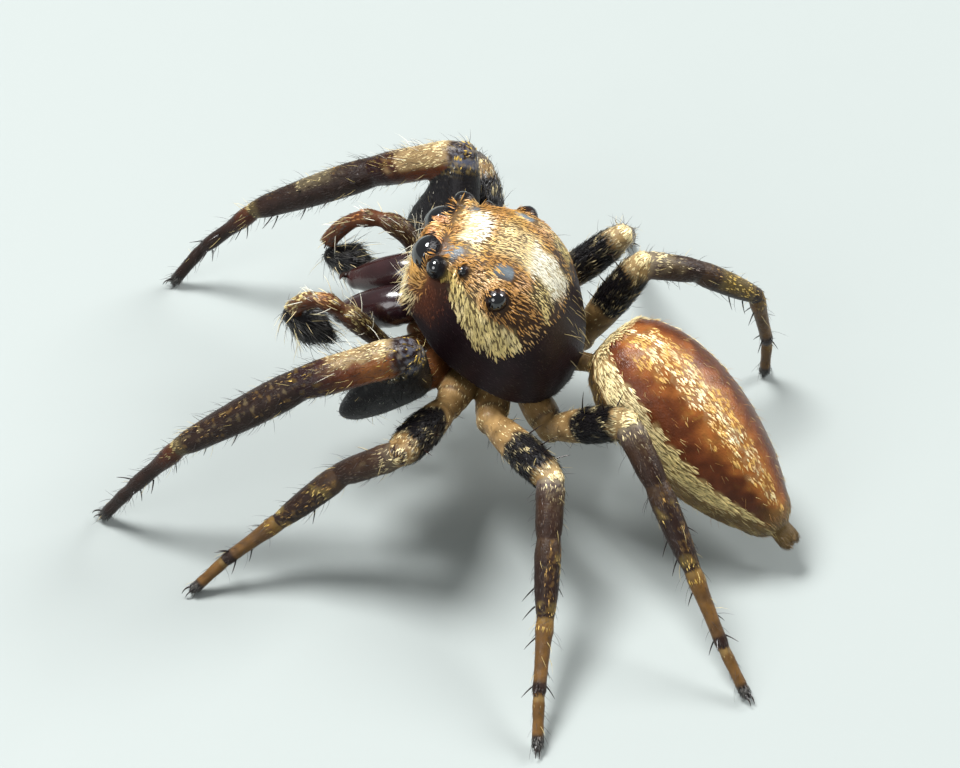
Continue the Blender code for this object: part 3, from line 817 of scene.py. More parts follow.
@dataclass
class LegBrush(Brush):
    """Paints one piece of a leg by share of its length, degrees round it and two ripples."""
    leg: Limb
    piece: int

    def __post_init__(self) -> None:
        """Place the points on the piece."""
        leg, piece = self.leg, self.piece
        self.run, across, top = leg.axes(piece)
        q = self.points - leg.joints[piece]
        self.share = (q @ self.run) / np.linalg.norm(leg.joints[piece + 1] - leg.joints[piece])
        self.inner = np.degrees(np.arctan2(q @ across, q @ top)) * (-1 if leg.side == "left" else 1)
        self.angle = np.abs(self.inner)
        self.wave = ripple(self.points, 0.10, 41 + leg.index)
        self.fine = ripple(self.points, 0.035, 61 + leg.index)

    def paint(self) -> None:
        """Paint the piece, and thin the scales where it joins the one before."""
        self.lay(self.run)
        self.all(reach=0.085, breadth=0.014, lift=8.0, gloss=0.6)
        (self.coxa, self.femur, self.patella, self.tibia, self.metatarsus, self.tarsus)[self.piece]()
        if self.piece > 1:
            self.on(band(self.share, -0.1, 0.02, 0.015), cover=0.15)

    def coxa(self) -> None:
        """Tan leg roots, darker on the front pair."""
        self.all(cuticle=INK.tan, scale=INK.cream, cover=0.22, gloss=0.45)
        self.on(0.6 * step(-0.3, 0.6, self.wave), cuticle=INK.amber)
        self.on(0.7 * band(self.share, 0.8, 0.86, 0.03), cuticle=INK.umber)
        if self.leg.number == 1:
            self.on(0.85, cuticle=INK.red_brown)
            self.all(scale=INK.bronze)

    def femur(self) -> None:
        """Black blade on the front pair; on the others tan at the root, black beyond, cream at the knee."""
        knee = step(0.86, 0.93, self.share + 0.02 * self.wave) * step(120, 85, self.angle)
        if self.leg.number == 1:
            self.all(cuticle=INK.black, scale=INK.black, cover=0.18, breadth=0.01, gloss=0.1)
            self.on(knee, cuticle=INK.slate)
            spots = step(0.76, 0.88, self.share) * step(0.1, 0.4, self.fine)
            self.on(spots, scale=INK.yellow, cover=0.9, breadth=0.022)
            self.on(step(0.86, 0.95, self.fine) * step(-0.2, 0.3, self.wave), scale=INK.white)
            return
        dark = band(self.share + 0.03 * self.wave, (0.0, 0.0, 0.34, 0.46, 0.44)[self.leg.number], 0.90, 0.04)
        self.all(cuticle=INK.tan, scale=INK.cream, cover=0.22)
        self.on(0.6 * step(-0.3, 0.6, self.wave), cuticle=INK.amber)
        self.on(dark, cuticle=INK.black, scale=INK.black, cover=0.55, reach=0.11, lift=20.0)
        fleck = step(0.35, 0.6, self.fine) * step(0.0, 0.4, self.wave) * step(0.45, 0.6, self.share)
        self.on(knee, scale=INK.umber)
        tip = step(0.9, 0.95, self.share + 0.02 * self.fine)
        pale = knee * (step(0.1, 0.4, self.fine) if self.leg.number == 2 else tip)
        self.on(np.maximum(pale, 0.8 * fleck), scale=INK.cream)
        self.on(knee, cover=0.9, breadth=0.018)
        self.all(gloss=0.4)

    def patella(self) -> None:
        """Glossy red-brown with a cream top on the front pair; brown with pale streaks on the others."""
        if self.leg.number == 1:
            self.all(cuticle=INK.red_brown)
            self.on(0.3 * band(self.share, 0.12, 0.42, 0.12) * step(20, -30, self.inner), cuticle=INK.rust)
            self.on(0.9 * step(0.45, 0.9, self.share + 0.05 * self.wave), cuticle=INK.maroon)
            knob = step(0.17, 0.06, self.share)
            self.on(0.9 * knob, cuticle=INK.black)
            self.on(0.9 * knob * step(-0.2, 0.4, self.fine), cuticle=INK.slate)
            self.all(scale=INK.dark_brown)
            low = -9.0 if self.leg.side == "left" else -25.0
            pale = step(low - 8, low + 10, self.inner + 9 * self.wave) * step(125, 105, self.angle)
            pale = pale * step(0.05, 0.12, self.share) * step(0.80, 0.55, self.share + 0.06 * self.wave)
            self.on(pale, scale=INK.cream)
            self.on(0.6 * pale, cuticle=INK.tan)
            glint = np.maximum(step(0.55, 0.8, self.fine),
                               step(0.0, 0.3, self.fine) * step(0.16, 0.04, self.share))
            glint = glint * step(120, 60, self.angle) * (1 - pale)
            self.on(glint, scale=INK.yellow)
            self.all(cover=0.16, gloss=0.85)
            self.on(step(0.55, 0.9, self.share), cover=0.55)
            self.on(pale, cover=1.15)
            self.on(glint * step(0.2, 0.0, self.share), cover=0.9, breadth=0.022)
            return
        bright = 1.0 if (self.leg.side, self.leg.number) == ("right", 4) else 0.5
        self.all(cuticle=INK.umber, scale=INK.umber)
        self.on((0.3 if self.leg.number > 2 else 0.1) * step(0.45, 0.1, self.share), cuticle=INK.lilac)
        self.on(0.85 * step(0.35, 0.85, self.share + 0.1 * self.wave), cuticle=INK.dark_brown)
        self.on(step(-0.3, 0.3, self.wave), scale=INK.brown)
        pale = step(80, 35, self.angle + 22 * self.wave) * step(0.75, 0.3, self.share + 0.1 * self.wave)
        pale = pale * np.where(bright > 0.9, 1.0, step(-0.2, 0.5, self.fine))
        self.on(bright * pale, scale=INK.cream)
        ring = step(0.16, 0.08, self.share + 0.02 * self.wave) * step(120, 80, self.angle)
        self.on(ring * (1.0 if self.leg.number > 2 else 0.4), scale=INK.cream)
        self.all(cover=0.7, gloss=0.45)
        self.on(ring, cover=0.9)

    def tibia(self) -> None:
        """Dark brown with gold glints on top, and pale spots and bands."""
        self.all(cuticle=INK.dark_brown, scale=INK.dark_brown, cover=0.75, breadth=0.011, gloss=0.5)
        self.on(step(-0.2, 0.5, self.wave), scale=INK.umber)
        if self.leg.number == 1:
            line = step(64, 34, self.angle + 20 * self.wave)
            glint = line * step(0.58, 0.75, self.fine)
            self.on(glint, scale=INK.gold)
            self.on(0.7 * glint * step(0.0, 0.4, self.wave), scale=INK.cream)
            if self.leg.side == "right":
                pale = band(self.share + 0.03 * self.wave, 0.26, 0.60, 0.05) * step(100, 60, self.angle)
                self.on(0.8 * pale, scale=INK.cream)
                self.on(pale, cover=0.8)
            pale = step(0.93, 0.98, self.share)
            self.on(0.7 * pale, scale=INK.straw)
            return
        self.on(0.7 * step(0.38, 0.1, self.share), cuticle=INK.brown)
        mid = band(self.share + 0.04 * self.wave, 0.26, 0.42, 0.03) * step(110, 70, self.angle)
        mid = mid * step(0.1, 0.5, self.wave)
        far = band(self.share + 0.02 * self.wave, 0.84, 0.97, 0.02) * step(120, 80, self.angle)
        far = far * step(-0.4, 0.1, self.wave)
        if (self.leg.side, self.leg.number) == ("right", 4):
            mid = band(self.share, 0.30, 0.80, 0.05) * step(110, 70, self.angle)
        self.on(np.maximum(mid, far), scale=INK.yellow)
        self.on(0.5 * np.maximum(mid, far) * step(-0.2, 0.5, self.wave), scale=INK.straw)
        glint = step(70, 30, self.angle) * step(0.62, 0.78, self.fine) * (mid < 0.1)
        self.on(glint, scale=INK.gold)
        self.on(np.maximum(mid, far), cover=0.9, breadth=0.018)

    def metatarsus(self) -> None:
        """Dark red-brown on the front pair, amber with a dark far ring on the others."""
        far = step(0.82, 0.89, self.share)
        near = step(0.16, 0.08, self.share) * step(130, 80, self.angle)
        if self.leg.number == 1:
            self.on(0.6, cuticle=INK.red_brown)
            self.on(step(0.05, 0.5, self.share), cuticle=INK.dark_brown)
            self.all(scale=INK.dark_brown, cover=0.3, gloss=0.7)
            self.on(0.6 * near, scale=INK.straw)
            return
        self.all(cuticle=INK.amber, scale=INK.brown, cover=0.45, breadth=0.01, gloss=0.5)
        self.on(0.6 * step(-0.3, 0.6, self.wave), cuticle=INK.brown)
        self.on(0.7 * step(-0.2, 0.5, self.wave), scale=INK.amber)
        self.on(0.8 * near, scale=INK.yellow)
        self.on(far, cuticle=INK.dark_brown, scale=INK.dark_brown)
        self.on(np.maximum(far, near), cover=0.75)

    def tarsus(self) -> None:
        """Amber, or dark on the front pair, with a black tip."""
        self.all(cuticle=INK.dark_brown if self.leg.number == 1 else INK.amber,
                 scale=INK.dark_brown if self.leg.number == 1 else INK.brown)
        near = band(self.share, 0.02, 0.16, 0.03) * step(130, 90, self.angle)
        if self.leg.number > 1:
            self.on(near, scale=INK.straw)
        tip = step(0.76, 0.88, self.share)
        self.on(tip, cuticle=INK.black, scale=INK.grey, lift=28.0)
        self.all(cover=0.45, reach=0.06, breadth=0.01)
        self.on(np.maximum(tip, near), cover=0.8)


@dataclass
class Painter:
    """Writes the markings of each region, in that region's own coordinates."""
    stance: Stance
    abdomen: Abdomen
    feelers: Feelers
    limbs: Sequence[Limb]
    shield: HeadShield

    def paint_all(self, marks: Markings, skin: "Skin") -> None:
        """Paint every region of the skin.

        Args:
            marks: Markings to fill.
            skin: The cast skin.
        """
        def part(number: int, limb: int = -1) -> tuple[Markings, np.ndarray, np.ndarray]:
            """What a brush needs for one region of the body or of a limb."""
            where = np.flatnonzero((skin.region == number) & ((limb < 0) | (skin.limb == limb)))
            return marks, where, skin.points[where]

        self.paint_shield(Brush(*part(Region.SHIELD)))
        self.paint_under(Brush(*part(Region.UNDER)))
        self.paint_waist(Brush(*part(Region.WAIST)))
        self.paint_abdomen(Brush(*part(Region.ABDOMEN)))
        self.paint_spinnerets(Brush(*part(Region.SPINNERET)))
        for k in range(2):
            self.paint_feeler(Brush(*part(Region.FEELER, self.feelers.first_limb + k)), k)
            self.paint_bulb(Brush(*part(Region.BULB, self.feelers.first_limb + k)), k)
        for leg in self.limbs:
            for piece in range(6):
                LegBrush(*part(Region.COXA + piece, leg.index), leg, piece).paint()
        marks.flow = unit(marks.flow - dot(marks.flow, skin.normals)[:, None] * skin.normals)

    def paint_shield(self, brush: Brush) -> None:
        """Golden crown, white patches, cream side bands, bare spots by the eyes with a painted blue-grey
        reflection, and smooth dark flanks.

        Args:
            brush: Brush over the points of this part.
        """
        q = self.stance.unbody(brush.points)
        side, x, y, z = q[:, 0], np.abs(q[:, 0]), q[:, 1], q[:, 2]
        place = np.stack([x, y, z], axis=1)
        wave = 0.030 * ripple(q, 0.12, 3)
        blotch = ripple(q, 0.20, 11)
        fine = ripple(q, 0.09, 13)
        # cuticle: nearly black flanks, brown face, umber under the gold
        brush.on(step(0.6, 1.0, z) * step(0.5, -0.1, y), cuticle=INK.umber)
        brush.on(0.8 * step(0.0, 0.5, y), cuticle=INK.maroon)
        brush.on(0.55 * step(-0.72, -1.0, y) * band(z, 0.3, 0.92, 0.1), cuticle=INK.red_brown)
        brush.all(gloss=0.55, lift=9.0)
        # golden crown, thinning to scattered gold on the dark slope behind
        crown = step(0.86, 1.0, z + wave + 0.35 * step(0.0, 0.5, y)) * step(0.30, -0.25, y)
        behind = step(0.30, 0.62, z + wave) * step(-0.25, 0.10, y) * step(0.95, 0.45, y)
        brush.all(scale=INK.gold, reach=0.105, breadth=0.0155)
        brush.on(0.85 * step(0.1, 0.75, -blotch), scale=INK.bronze)
        brush.on(0.7 * step(0.2, 0.9, blotch), scale=INK.cream)
        brush.on(0.7 * step(-0.3, 0.1, y) * step(0.1, 0.5, x), scale=INK.bronze)
        brush.on(behind, cover=0.2)
        brush.on(crown, cover=0.92)
        # white patch on the head, white patch on the slope with a straw tail
        spot = band(side, -0.32, 0.22, 0.03) * band(y + 0.22 * np.abs(side + 0.06) + wave, -0.95, -0.71, 0.03)
        spot = spot * step(0.9, 1.1, z)
        slope = band(side + wave, -0.10, 0.33, 0.04) * band(y + wave, -0.16, 0.40, 0.05) * step(0.7, 0.9, z)
        tail = band(x + wave, 0.30, 0.60, 0.06) * band(y + wave, -0.02, 0.34, 0.08) * step(0.7, 0.9, z)
        brush.on(tail, scale=INK.straw, cover=0.62)
        brush.on(0.7 * band(side, -0.2, 0.3, 0.1) * band(y, -0.62, -0.1, 0.1), scale=INK.cream)
        patch = np.maximum(spot, slope)
        brush.on(patch, scale=INK.white, cover=1.15)
        brush.on(0.6 * patch, cuticle=INK.straw)
        # cream side band, from the front side eye down and back to a round end
        top = np.interp(y, (-1.02, -0.89, -0.59, -0.39, -0.14, 0.02, 0.12, 0.18),
                        (1.09, 1.08, 0.985, 0.910, 0.90, 0.905, 0.855, 0.74))
        low = np.interp(y, (-1.02, -0.94, -0.73, -0.50, -0.33, -0.08, 0.05, 0.18),
                        (1.05, 0.95, 0.80, 0.61, 0.53, 0.51, 0.56, 0.72))
        ragged = 0.045 * ripple(q, 0.055, 17)
        stripe = step(0.012, -0.012, z - top + 0.5 * ragged) * step(-0.012, 0.012, z - low + ragged)
        stripe = stripe * step(0.40, 0.56, x) * band(y, -1.03, 0.17, 0.012)
        brush.on(stripe, scale=INK.straw, cuticle=INK.umber, cover=1.15, reach=0.125, breadth=0.0225)
        brush.on(0.55 * stripe * step(-0.2, 0.8, fine), scale=INK.cream)
        brush.on(0.5 * stripe * step(-0.7, -0.95, y), scale=INK.yellow)
        # smooth dark flank, brown face with fine hairs
        flank = step(0.0, 0.05, np.minimum(low, 0.95) - z + 0.25 * step(0.15, 0.5, y)) * (1 - stripe)
        flank = flank * step(0.45, 0.6, x + 0.6 * step(-0.2, 0.4, y))
        brush.on(flank, scale=INK.dark_brown, cover=0.3, reach=0.07, breadth=0.008, gloss=0.25)
        cheek = band(y, -1.25, -0.72, 0.08) * band(z, 0.30, 0.93, 0.05) * step(0.42, 0.55, x) * (1 - stripe)
        brush.on(cheek, scale=INK.chestnut, cover=0.45, reach=0.075, breadth=0.012)
        # rust hairs round the front eyes, pale hairs on the lip
        face = step(-1.02, -1.14, y) * step(0.50, 0.62, z)
        brush.on(face, scale=INK.rust, cover=0.95, reach=0.12, breadth=0.015, lift=22.0)
        brush.on(0.8 * face * np.maximum(step(-0.1, 0.5, fine), step(0.95, 0.75, z)), scale=INK.gold)
        lip = step(-1.04, -1.16, y) * step(0.58, 0.48, z)
        brush.on(lip, scale=INK.cream, cover=0.5, reach=0.13, breadth=0.013, lift=24.0)
        brush.on(0.6 * lip * step(0.1, 0.6, blotch), scale=INK.bronze)
        # bare shiny spots with a painted blue-grey reflection of the surround, and bare rims round the eyes
        for centre, size in (((0.50, -0.33, 1.28), 0.125), ((0.42, -0.93, 1.16), 0.115)):
            away = gap_to(place, centre) + 0.4 * wave
            bare = step(size * 1.15, size * 0.80, away)
            brush.on(bare, cuticle=INK.reflected_surround, cover=0.05, gloss=1.0)
        behind_eye = step(0.34, 0.20, gap_to(place, (0.80, -0.10, 0.98))) * (1 - stripe)
        brush.on(behind_eye, cuticle=INK.dark_brown, cover=0.38)
        brush.on(0.8 * behind_eye, scale=INK.bronze)
        flow = np.stack([0.25 * side, np.ones_like(y), -0.45 * step(0.35, 0.8, x) * step(1.2, 0.9, z)],
                        axis=1)
        down = stripe[:, None]
        flow = flow * (1 - down) + down * np.array((0.0, 0.60, -0.80))
        flow = flow * (1 - 0.8 * cheek[:, None]) + cheek[:, None] * np.array((0.0, 0.3, -0.8))
        for name, (centre, radius) in self.shield.eyes.items():
            away = place - np.array(centre)
            distance = np.linalg.norm(away, axis=1)
            ring = step(radius * 1.12, radius * 1.05, distance)
            dark = step(radius * 1.5, radius * 1.1, distance) * (0.9 if name != "anterior_median" else 0.3)
            brush.on(np.maximum(ring, dark), cuticle=INK.black)
            brush.on(ring, cover=0.0, gloss=0.9)
            if name.startswith("posterior"):
                close = step(radius + 0.15, radius + 0.06, distance) * (1 - ring)
                brush.on(close, lift=30.0, reach=0.075)
                brush.on(close * (1 - behind_eye) * (1 - stripe), cover=0.95)
                wide = step(radius + 0.22, radius + 0.08, distance) * (1 - stripe)
                brush.on(0.85 * wide, scale=INK.bronze)
                brush.on(0.8 * wide, cuticle=INK.dark_brown)
            if name.startswith("anterior"):
                near = (step(radius * 1.6, radius * 1.1, distance) * (1 - stripe))[:, None]
                away[:, 0] *= np.sign(side)
                flow += 0.8 * near * unit(away)
        flow = flow * (1 - face[:, None]) + face[:, None] * np.array((0.0, -1.0, 0.25))
        flow = flow * (1 - lip[:, None]) + lip[:, None] * np.array((0.0, -0.5, -1.0))
        brush.lay(flow @ self.stance.turn.T)

    def paint_under(self, brush: Brush) -> None:
        """Tan breastplate and mouthparts with thin pale hairs.

        Args:
            brush: Brush over the points of this part.
        """
        q = self.stance.unbody(brush.points)
        brush.all(cuticle=INK.tan, scale=INK.cream, cover=0.16, breadth=0.01, gloss=0.4)
        brush.on(0.8 * step(-0.45, -0.7, q[:, 1]), cuticle=INK.red_brown)
        brush.lay(self.stance.turn @ np.array((0.0, 1.0, 0.0)))

    def paint_waist(self, brush: Brush) -> None:
        """Pale waist with a few hairs."""
        brush.all(cuticle=INK.tan, scale=INK.cream, cover=0.15, breadth=0.012)
        brush.lay(self.abdomen.run)

    def paint_abdomen(self, brush: Brush) -> None:
        """Chestnut back with a broken gold-cream stripe, a cream rim and side bands, and an olive belly.

        Args:
            brush: Brush over the points of this part.
        """
        share, angle = self.abdomen.coordinates(brush.points)
        round_ = np.abs(angle)
        wave = ripple(brush.points, 0.16, 21)
        blotch = ripple(brush.points, 0.085, 23)
        brush.all(cuticle=INK.chestnut, gloss=0.85, scale=INK.copper, cover=0.12, reach=0.1, breadth=0.008,
                  lift=5.0)
        brush.on(0.9 * step(0.35, 0.85, share) * step(14, 40, round_), cuticle=INK.mahogany)
        brush.on(0.45 * step(-0.3, 0.8, wave), cuticle=INK.mahogany)
        brush.on(0.75 * step(14, 34, angle), cuticle=INK.mahogany)
        brush.on(0.75 * step(36, 14, np.abs(angle + 9) + 7 * wave), cuticle=INK.copper)
        # broken stripe along the back
        edge = np.abs(angle + 9) + 7 * blotch + 4 * wave
        reach = np.interp(share, (0.0, 0.03, 0.12, 0.35, 0.7, 0.85, 0.93), (-10, 14, 19, 18, 14, 9, -10))
        stripe = step(4.0, -4.0, edge - reach)
        halo = step(12.0, -2.0, edge - reach) * (1 - stripe)
        brush.on(np.maximum(stripe, halo), scale=INK.gold, breadth=0.026)
        brush.on(stripe * step(-0.35, 0.45, blotch + 0.5 * wave), scale=INK.cream)
        brush.on(0.2 * stripe * step(0.3, 0.9, wave), scale=INK.white)
        brush.on(halo, cover=0.2)
        brush.on(stripe, cover=0.95, reach=0.105, lift=9.0)
        # yellow flecks on the top of the back: partly scales, partly painted glints of light
        fleck = step(0.86, 1.05, ripple(brush.points, 0.045, 29))
        fleck = fleck * step(54, 30, round_) * step(0.08, 0.2, share)
        brush.on(fleck * (1 - stripe), scale=INK.yellow, cover=0.5)
        brush.on(fleck, breadth=0.026)
        # cream rim round the front and bands along the sides
        teeth = 4.5 * np.abs(np.sin(share * 38 + 0.6 * wave)) - 2 + 2 * wave
        low_edge = np.interp(share, (0.0, 0.10, 0.3, 0.64, 0.72, 0.78, 0.85, 0.92),
                             (100, 93, 90, 88, 85, 77, 66, 62))
        high_edge = np.interp(share, (0.0, 0.03, 0.10, 0.22, 0.40, 0.62, 0.75, 0.84, 0.92),
                              (30, 58, 61, 60, 62, 65, 63, 60, 62))
        side = step(-2.5, 2.5, round_ - high_edge + teeth) * step(3, -3, round_ - low_edge)
        side = side * step(0.90, 0.84, share)
        rim = step(0.042, 0.024, share + 0.008 * wave) * step(120, 100, round_)
        pale = np.maximum(side, rim)
        brush.on(pale, scale=INK.cream, cuticle=INK.tan, cover=1.05, reach=0.14, breadth=0.023, lift=12.0)
        brush.on(0.9 * side * step(0.22, 0.5, share), scale=INK.straw)
        # belly and rear end
        belly = np.maximum(step(-3, 3, round_ - low_edge), step(0.84, 0.95, share + 0.02 * wave))
        brush.on(belly, cuticle=INK.olive, scale=INK.olive, cover=0.55, reach=0.12, breadth=0.016, lift=9.0,
                 gloss=0.35)
        brush.on(0.7 * belly * step(0.5, 0.0, share), cuticle=INK.dark_brown)
        brush.on(0.35 * belly * step(-0.2, 0.6, blotch), scale=INK.straw)
        brush.on(0.5 * step(0.955, 0.985, share), scale=INK.brown)
        out = brush.points - (self.abdomen.start + share[:, None] * self.abdomen.length * self.abdomen.run)
        upward = np.cross(self.abdomen.run, unit(out)) * np.sign(angle)[:, None]
        upward *= np.sign(upward @ self.abdomen.top)[:, None]
        brush.lay(self.abdomen.run + 0.22 * upward * side[:, None])

    def paint_spinnerets(self, brush: Brush) -> None:
        """Olive brown spinnerets with short soft hairs.

        Args:
            brush: Brush over the points of this part.
        """
        brush.all(cuticle=INK.olive, scale=INK.olive, cover=0.9, reach=0.09, breadth=0.012, lift=12.0,
                  gloss=0.3)
        brush.on(0.6 * step(-0.2, 0.5, ripple(brush.points, 0.05, 27)), scale=INK.tan)
        brush.lay(self.abdomen.run)

    def paint_feeler(self, brush: Brush, k: int) -> None:
        """Brown arms with clusters of cream and gold scales on top.

        Args:
            brush: Brush over the points of this part.
            k: Number of the feeler, 0 on the left and 1 on the right.
        """
        share, tangent = self.feelers.share(brush.points, k)
        route = self.feelers.routes[k]
        out = unit(brush.points - route[np.round(share * (len(route) - 1)).astype(int)])
        up = unit(np.cross(np.cross(tangent, (0.0, -0.35, 1.0)), tangent))
        top = dot(out, up)
        patchy = ripple(brush.points, 0.09, 31)
        brush.all(cuticle=INK.umber, scale=INK.umber)
        brush.on(0.7 * step(0.25, 0.6, share), cuticle=INK.red_brown)
        pale = step(0.05, 0.4, top + 0.35 * patchy) * step(-0.30, 0.10, ripple(brush.points, 0.035, 37))
        pale = pale * (1.0 if k == 0 else 0.25)
        brush.on(pale, scale=INK.straw)
        brush.on(pale * step(0.2, 0.7, patchy), scale=INK.cream)
        brush.on(0.85 * band(share, 0.62, 0.72, 0.03) * step(-0.2, 0.4, top), scale=INK.rust)
        brush.all(cover=0.35, reach=0.085, breadth=0.018, lift=11.0, gloss=0.5)
        brush.on(pale, cover=0.62)
        brush.lay(tangent)

    def paint_bulb(self, brush: Brush, k: int) -> None:
        """Black-grey bulbs with soft hair.

        Args:
            brush: Brush over the points of this part.
            k: Number of the feeler, 0 on the left and 1 on the right.
        """
        start, end = self.feelers.ends[k]
        brush.all(cuticle=INK.black, scale=INK.black, cover=0.4, reach=0.13, breadth=0.01, lift=20.0,
                  gloss=0.5)
        brush.on(0.7 * step(-0.2, 0.5, ripple(brush.points, 0.12, 33)), scale=INK.grey)
        brush.lay(unit(end - start))


# ---- finishes --------------------

@dataclass
class Wiring:
    """Adds nodes to one node tree and joins them up."""
    tree: bpy.types.NodeTree

    def add(self, kind: str, inputs: dict | None = None, **settings: object) -> bpy.types.Node:
        """Add a shader node.

        Args:
            kind: Its type, without the leading ShaderNode.
            inputs: What goes into each input, by name or number: a socket to join, or a value.
            settings: The node's own settings.

        Returns:
            The node.
        """
        node = self.tree.nodes.new("ShaderNode" + kind)
        for name, value in settings.items():
            setattr(node, name, value)
        self.feed(node, inputs or {})
        return node

    def feed(self, node: bpy.types.Node, inputs: dict) -> None:
        """Join or set some inputs of a node.

        Args:
            node: The node.
            inputs: A socket or a value for each input, by name or number.
        """
        for name, value in inputs.items():
            if isinstance(value, bpy.types.NodeSocket):
                self.tree.links.new(value, node.inputs[name])
            else:
                node.inputs[name].default_value = value

    def read(self, name: str, output: str = "Fac") -> bpy.types.NodeSocket:
        """An attribute of the mesh, as a number or, from another output, as a colour or a vector."""
        return self.add("Attribute", attribute_name=name).outputs[output]

    def tone(self, colour: bpy.types.NodeSocket, amount: bpy.types.NodeSocket) -> bpy.types.NodeSocket:
        """A colour made lighter or darker by an amount."""
        return self.add("VectorMath", {0: colour, "Scale": amount}, operation="SCALE").outputs[0]


def new_group(name: str, inputs: dict[str, float], outputs: Sequence[str]) -> tuple[Wiring, bpy.types.Node]:
    """Start a shader node group whose sockets are numbers.

    Args:
        name: The group's name.
        inputs: Default value of each input.
        outputs: Names of its outputs.

    Returns:
        The wiring of its tree and its input node; its output node is there too.
    """
    tree = bpy.data.node_groups.new(name, "ShaderNodeTree")
    for label, value in inputs.items():
        tree.interface.new_socket(label, in_out="INPUT", socket_type="NodeSocketFloat").default_value = value
    for label in outputs:
        tree.interface.new_socket(label, in_out="OUTPUT", socket_type="NodeSocketFloat")
    tree.nodes.new("NodeGroupOutput")
    return Wiring(tree), tree.nodes.new("NodeGroupInput")


def new_material(name: str) -> tuple[bpy.types.Material, Wiring, bpy.types.Node]:
    """Start a node material.

    Args:
        name: The material's name.

    Returns:
        The material, its wiring and its Principled shader.
    """
    made = bpy.data.materials.new(name)
    made.use_nodes = True
    return made, Wiring(made.node_tree), made.node_tree.nodes["Principled BSDF"]


class ShaderTools:
    """Node groups that more than one finish uses, built once."""

    def __init__(self) -> None:
        """Build the groups."""
        self.grain = self.build_grain()
        self.fur = self.build_fur()

    @staticmethod
    def build_grain() -> bpy.types.NodeTree:
        """Fine pits and soft mottling of cuticle.

        Returns:
            A group that puts out a tone near 1 and a height from 0 to 1.
        """
        net, given = new_group("cuticle_grain", {"Fineness": 30000.0, "Mottle": 0.25}, ("Tone", "Height"))
        fineness, mottle = given.outputs["Fineness"], given.outputs["Mottle"]
        place = net.add("TexCoord").outputs["Object"]
        pits = net.add("TexNoise", {"Vector": place, "Scale": fineness, "Detail": 2.0})
        wide = net.add("Math", {0: fineness, 1: 0.16}, operation="MULTIPLY")
        blotch = net.add("TexNoise", {"Vector": place, "Scale": wide.outputs[0], "Detail": 3.0})
        low = net.add("Math", {0: 1.0, 1: mottle}, operation="SUBTRACT")
        high = net.add("Math", {0: 1.0, 1: mottle}, operation="ADD")
        tone = net.add("MapRange", {"Value": blotch.outputs["Fac"], "From Min": 0.3, "From Max": 0.7,
                                    "To Min": low.outputs[0], "To Max": high.outputs[0]})
        net.feed(net.tree.nodes["Group Output"], {"Tone": tone.outputs["Result"],
                                                  "Height": pits.outputs["Fac"]})
        return net.tree

    @staticmethod
    def build_fur() -> bpy.types.NodeTree:
        """Short lying fur, drawn out along the skin's own lay coordinates.

        Returns:
            A group that puts out the height of its streaks, from 0 to 1.
        """
        net, given = new_group("lying_fur", {"Fineness": 60.0}, ("Streak",))
        squeeze = net.add("VectorMath", {0: net.read("lay", "Vector"), 1: (0.16, 1.0, 1.0)},
                          operation="MULTIPLY")
        streak = net.add("TexNoise", {"Vector": squeeze.outputs[0], "Scale": given.outputs["Fineness"],
                                      "Detail": 1.0})
        net.feed(net.tree.nodes["Group Output"], {"Streak": streak.outputs["Fac"]})
        return net.tree


@dataclass(frozen=True)
class SkinFinish:
    """Cuticle and fine lying fur, tinted by the skin's markings."""
    rough_matt: float = 0.52
    rough_gloss: float = 0.24
    grain_height: float = 0.006
    fur_height: float = 0.004
    specular: float = 0.20
    fineness: float = 42000.0

    def build(self, tools: ShaderTools) -> bpy.types.Material:
        """Make the material.

        Args:
            tools: The shared node groups.

        Returns:
            The material.
        """
        made, net, shader = new_material("skin_cuticle")
        grain = net.add("Group", {"Fineness": self.fineness}, node_tree=tools.grain)
        fur = net.add("Group", node_tree=tools.fur)
        rough = net.add("MapRange", {"Value": net.read("gloss"), "To Min": self.rough_matt,
                                     "To Max": self.rough_gloss})
        pits = net.add("Bump", {"Distance": self.grain_height * MM, "Height": grain.outputs["Height"]})
        streaks = net.add("Bump", {"Distance": self.fur_height * MM, "Height": fur.outputs["Streak"],
                                   "Normal": pits.outputs["Normal"]})
        net.feed(shader, {"Base Color": net.tone(net.read("tint", "Color"), grain.outputs["Tone"]),
                          "Roughness": rough.outputs["Result"], "Normal": streaks.outputs["Normal"],
                          "Specular IOR Level": self.specular})
        return made


@dataclass(frozen=True)
class CoatFinish:
    """Scales and hairs in their own tint, dark at the root as painted shade where they overlap and lighter at
    the tip as a painted highlight.
    """
    name: str
    roughness: float
    # painted shade at each tuft's root and painted highlight at its tip
    root_shade: float
    tip_highlight: float = 1.25
    metallic: float = 0.0

    def build(self) -> bpy.types.Material:
        """Make the material.

        Returns:
            The material.
        """
        made, net, shader = new_material(self.name)
        # painted light along each tuft: shade at the root, highlight at the tip
        tone = net.add("MapRange", {"Value": net.read("reach"), "To Min": self.root_shade,
                                    "To Max": self.tip_highlight})
        net.feed(shader, {"Base Color": net.tone(net.read("tint", "Color"), tone.outputs["Result"]),
                          "Roughness": self.roughness, "Metallic": self.metallic})
        return made


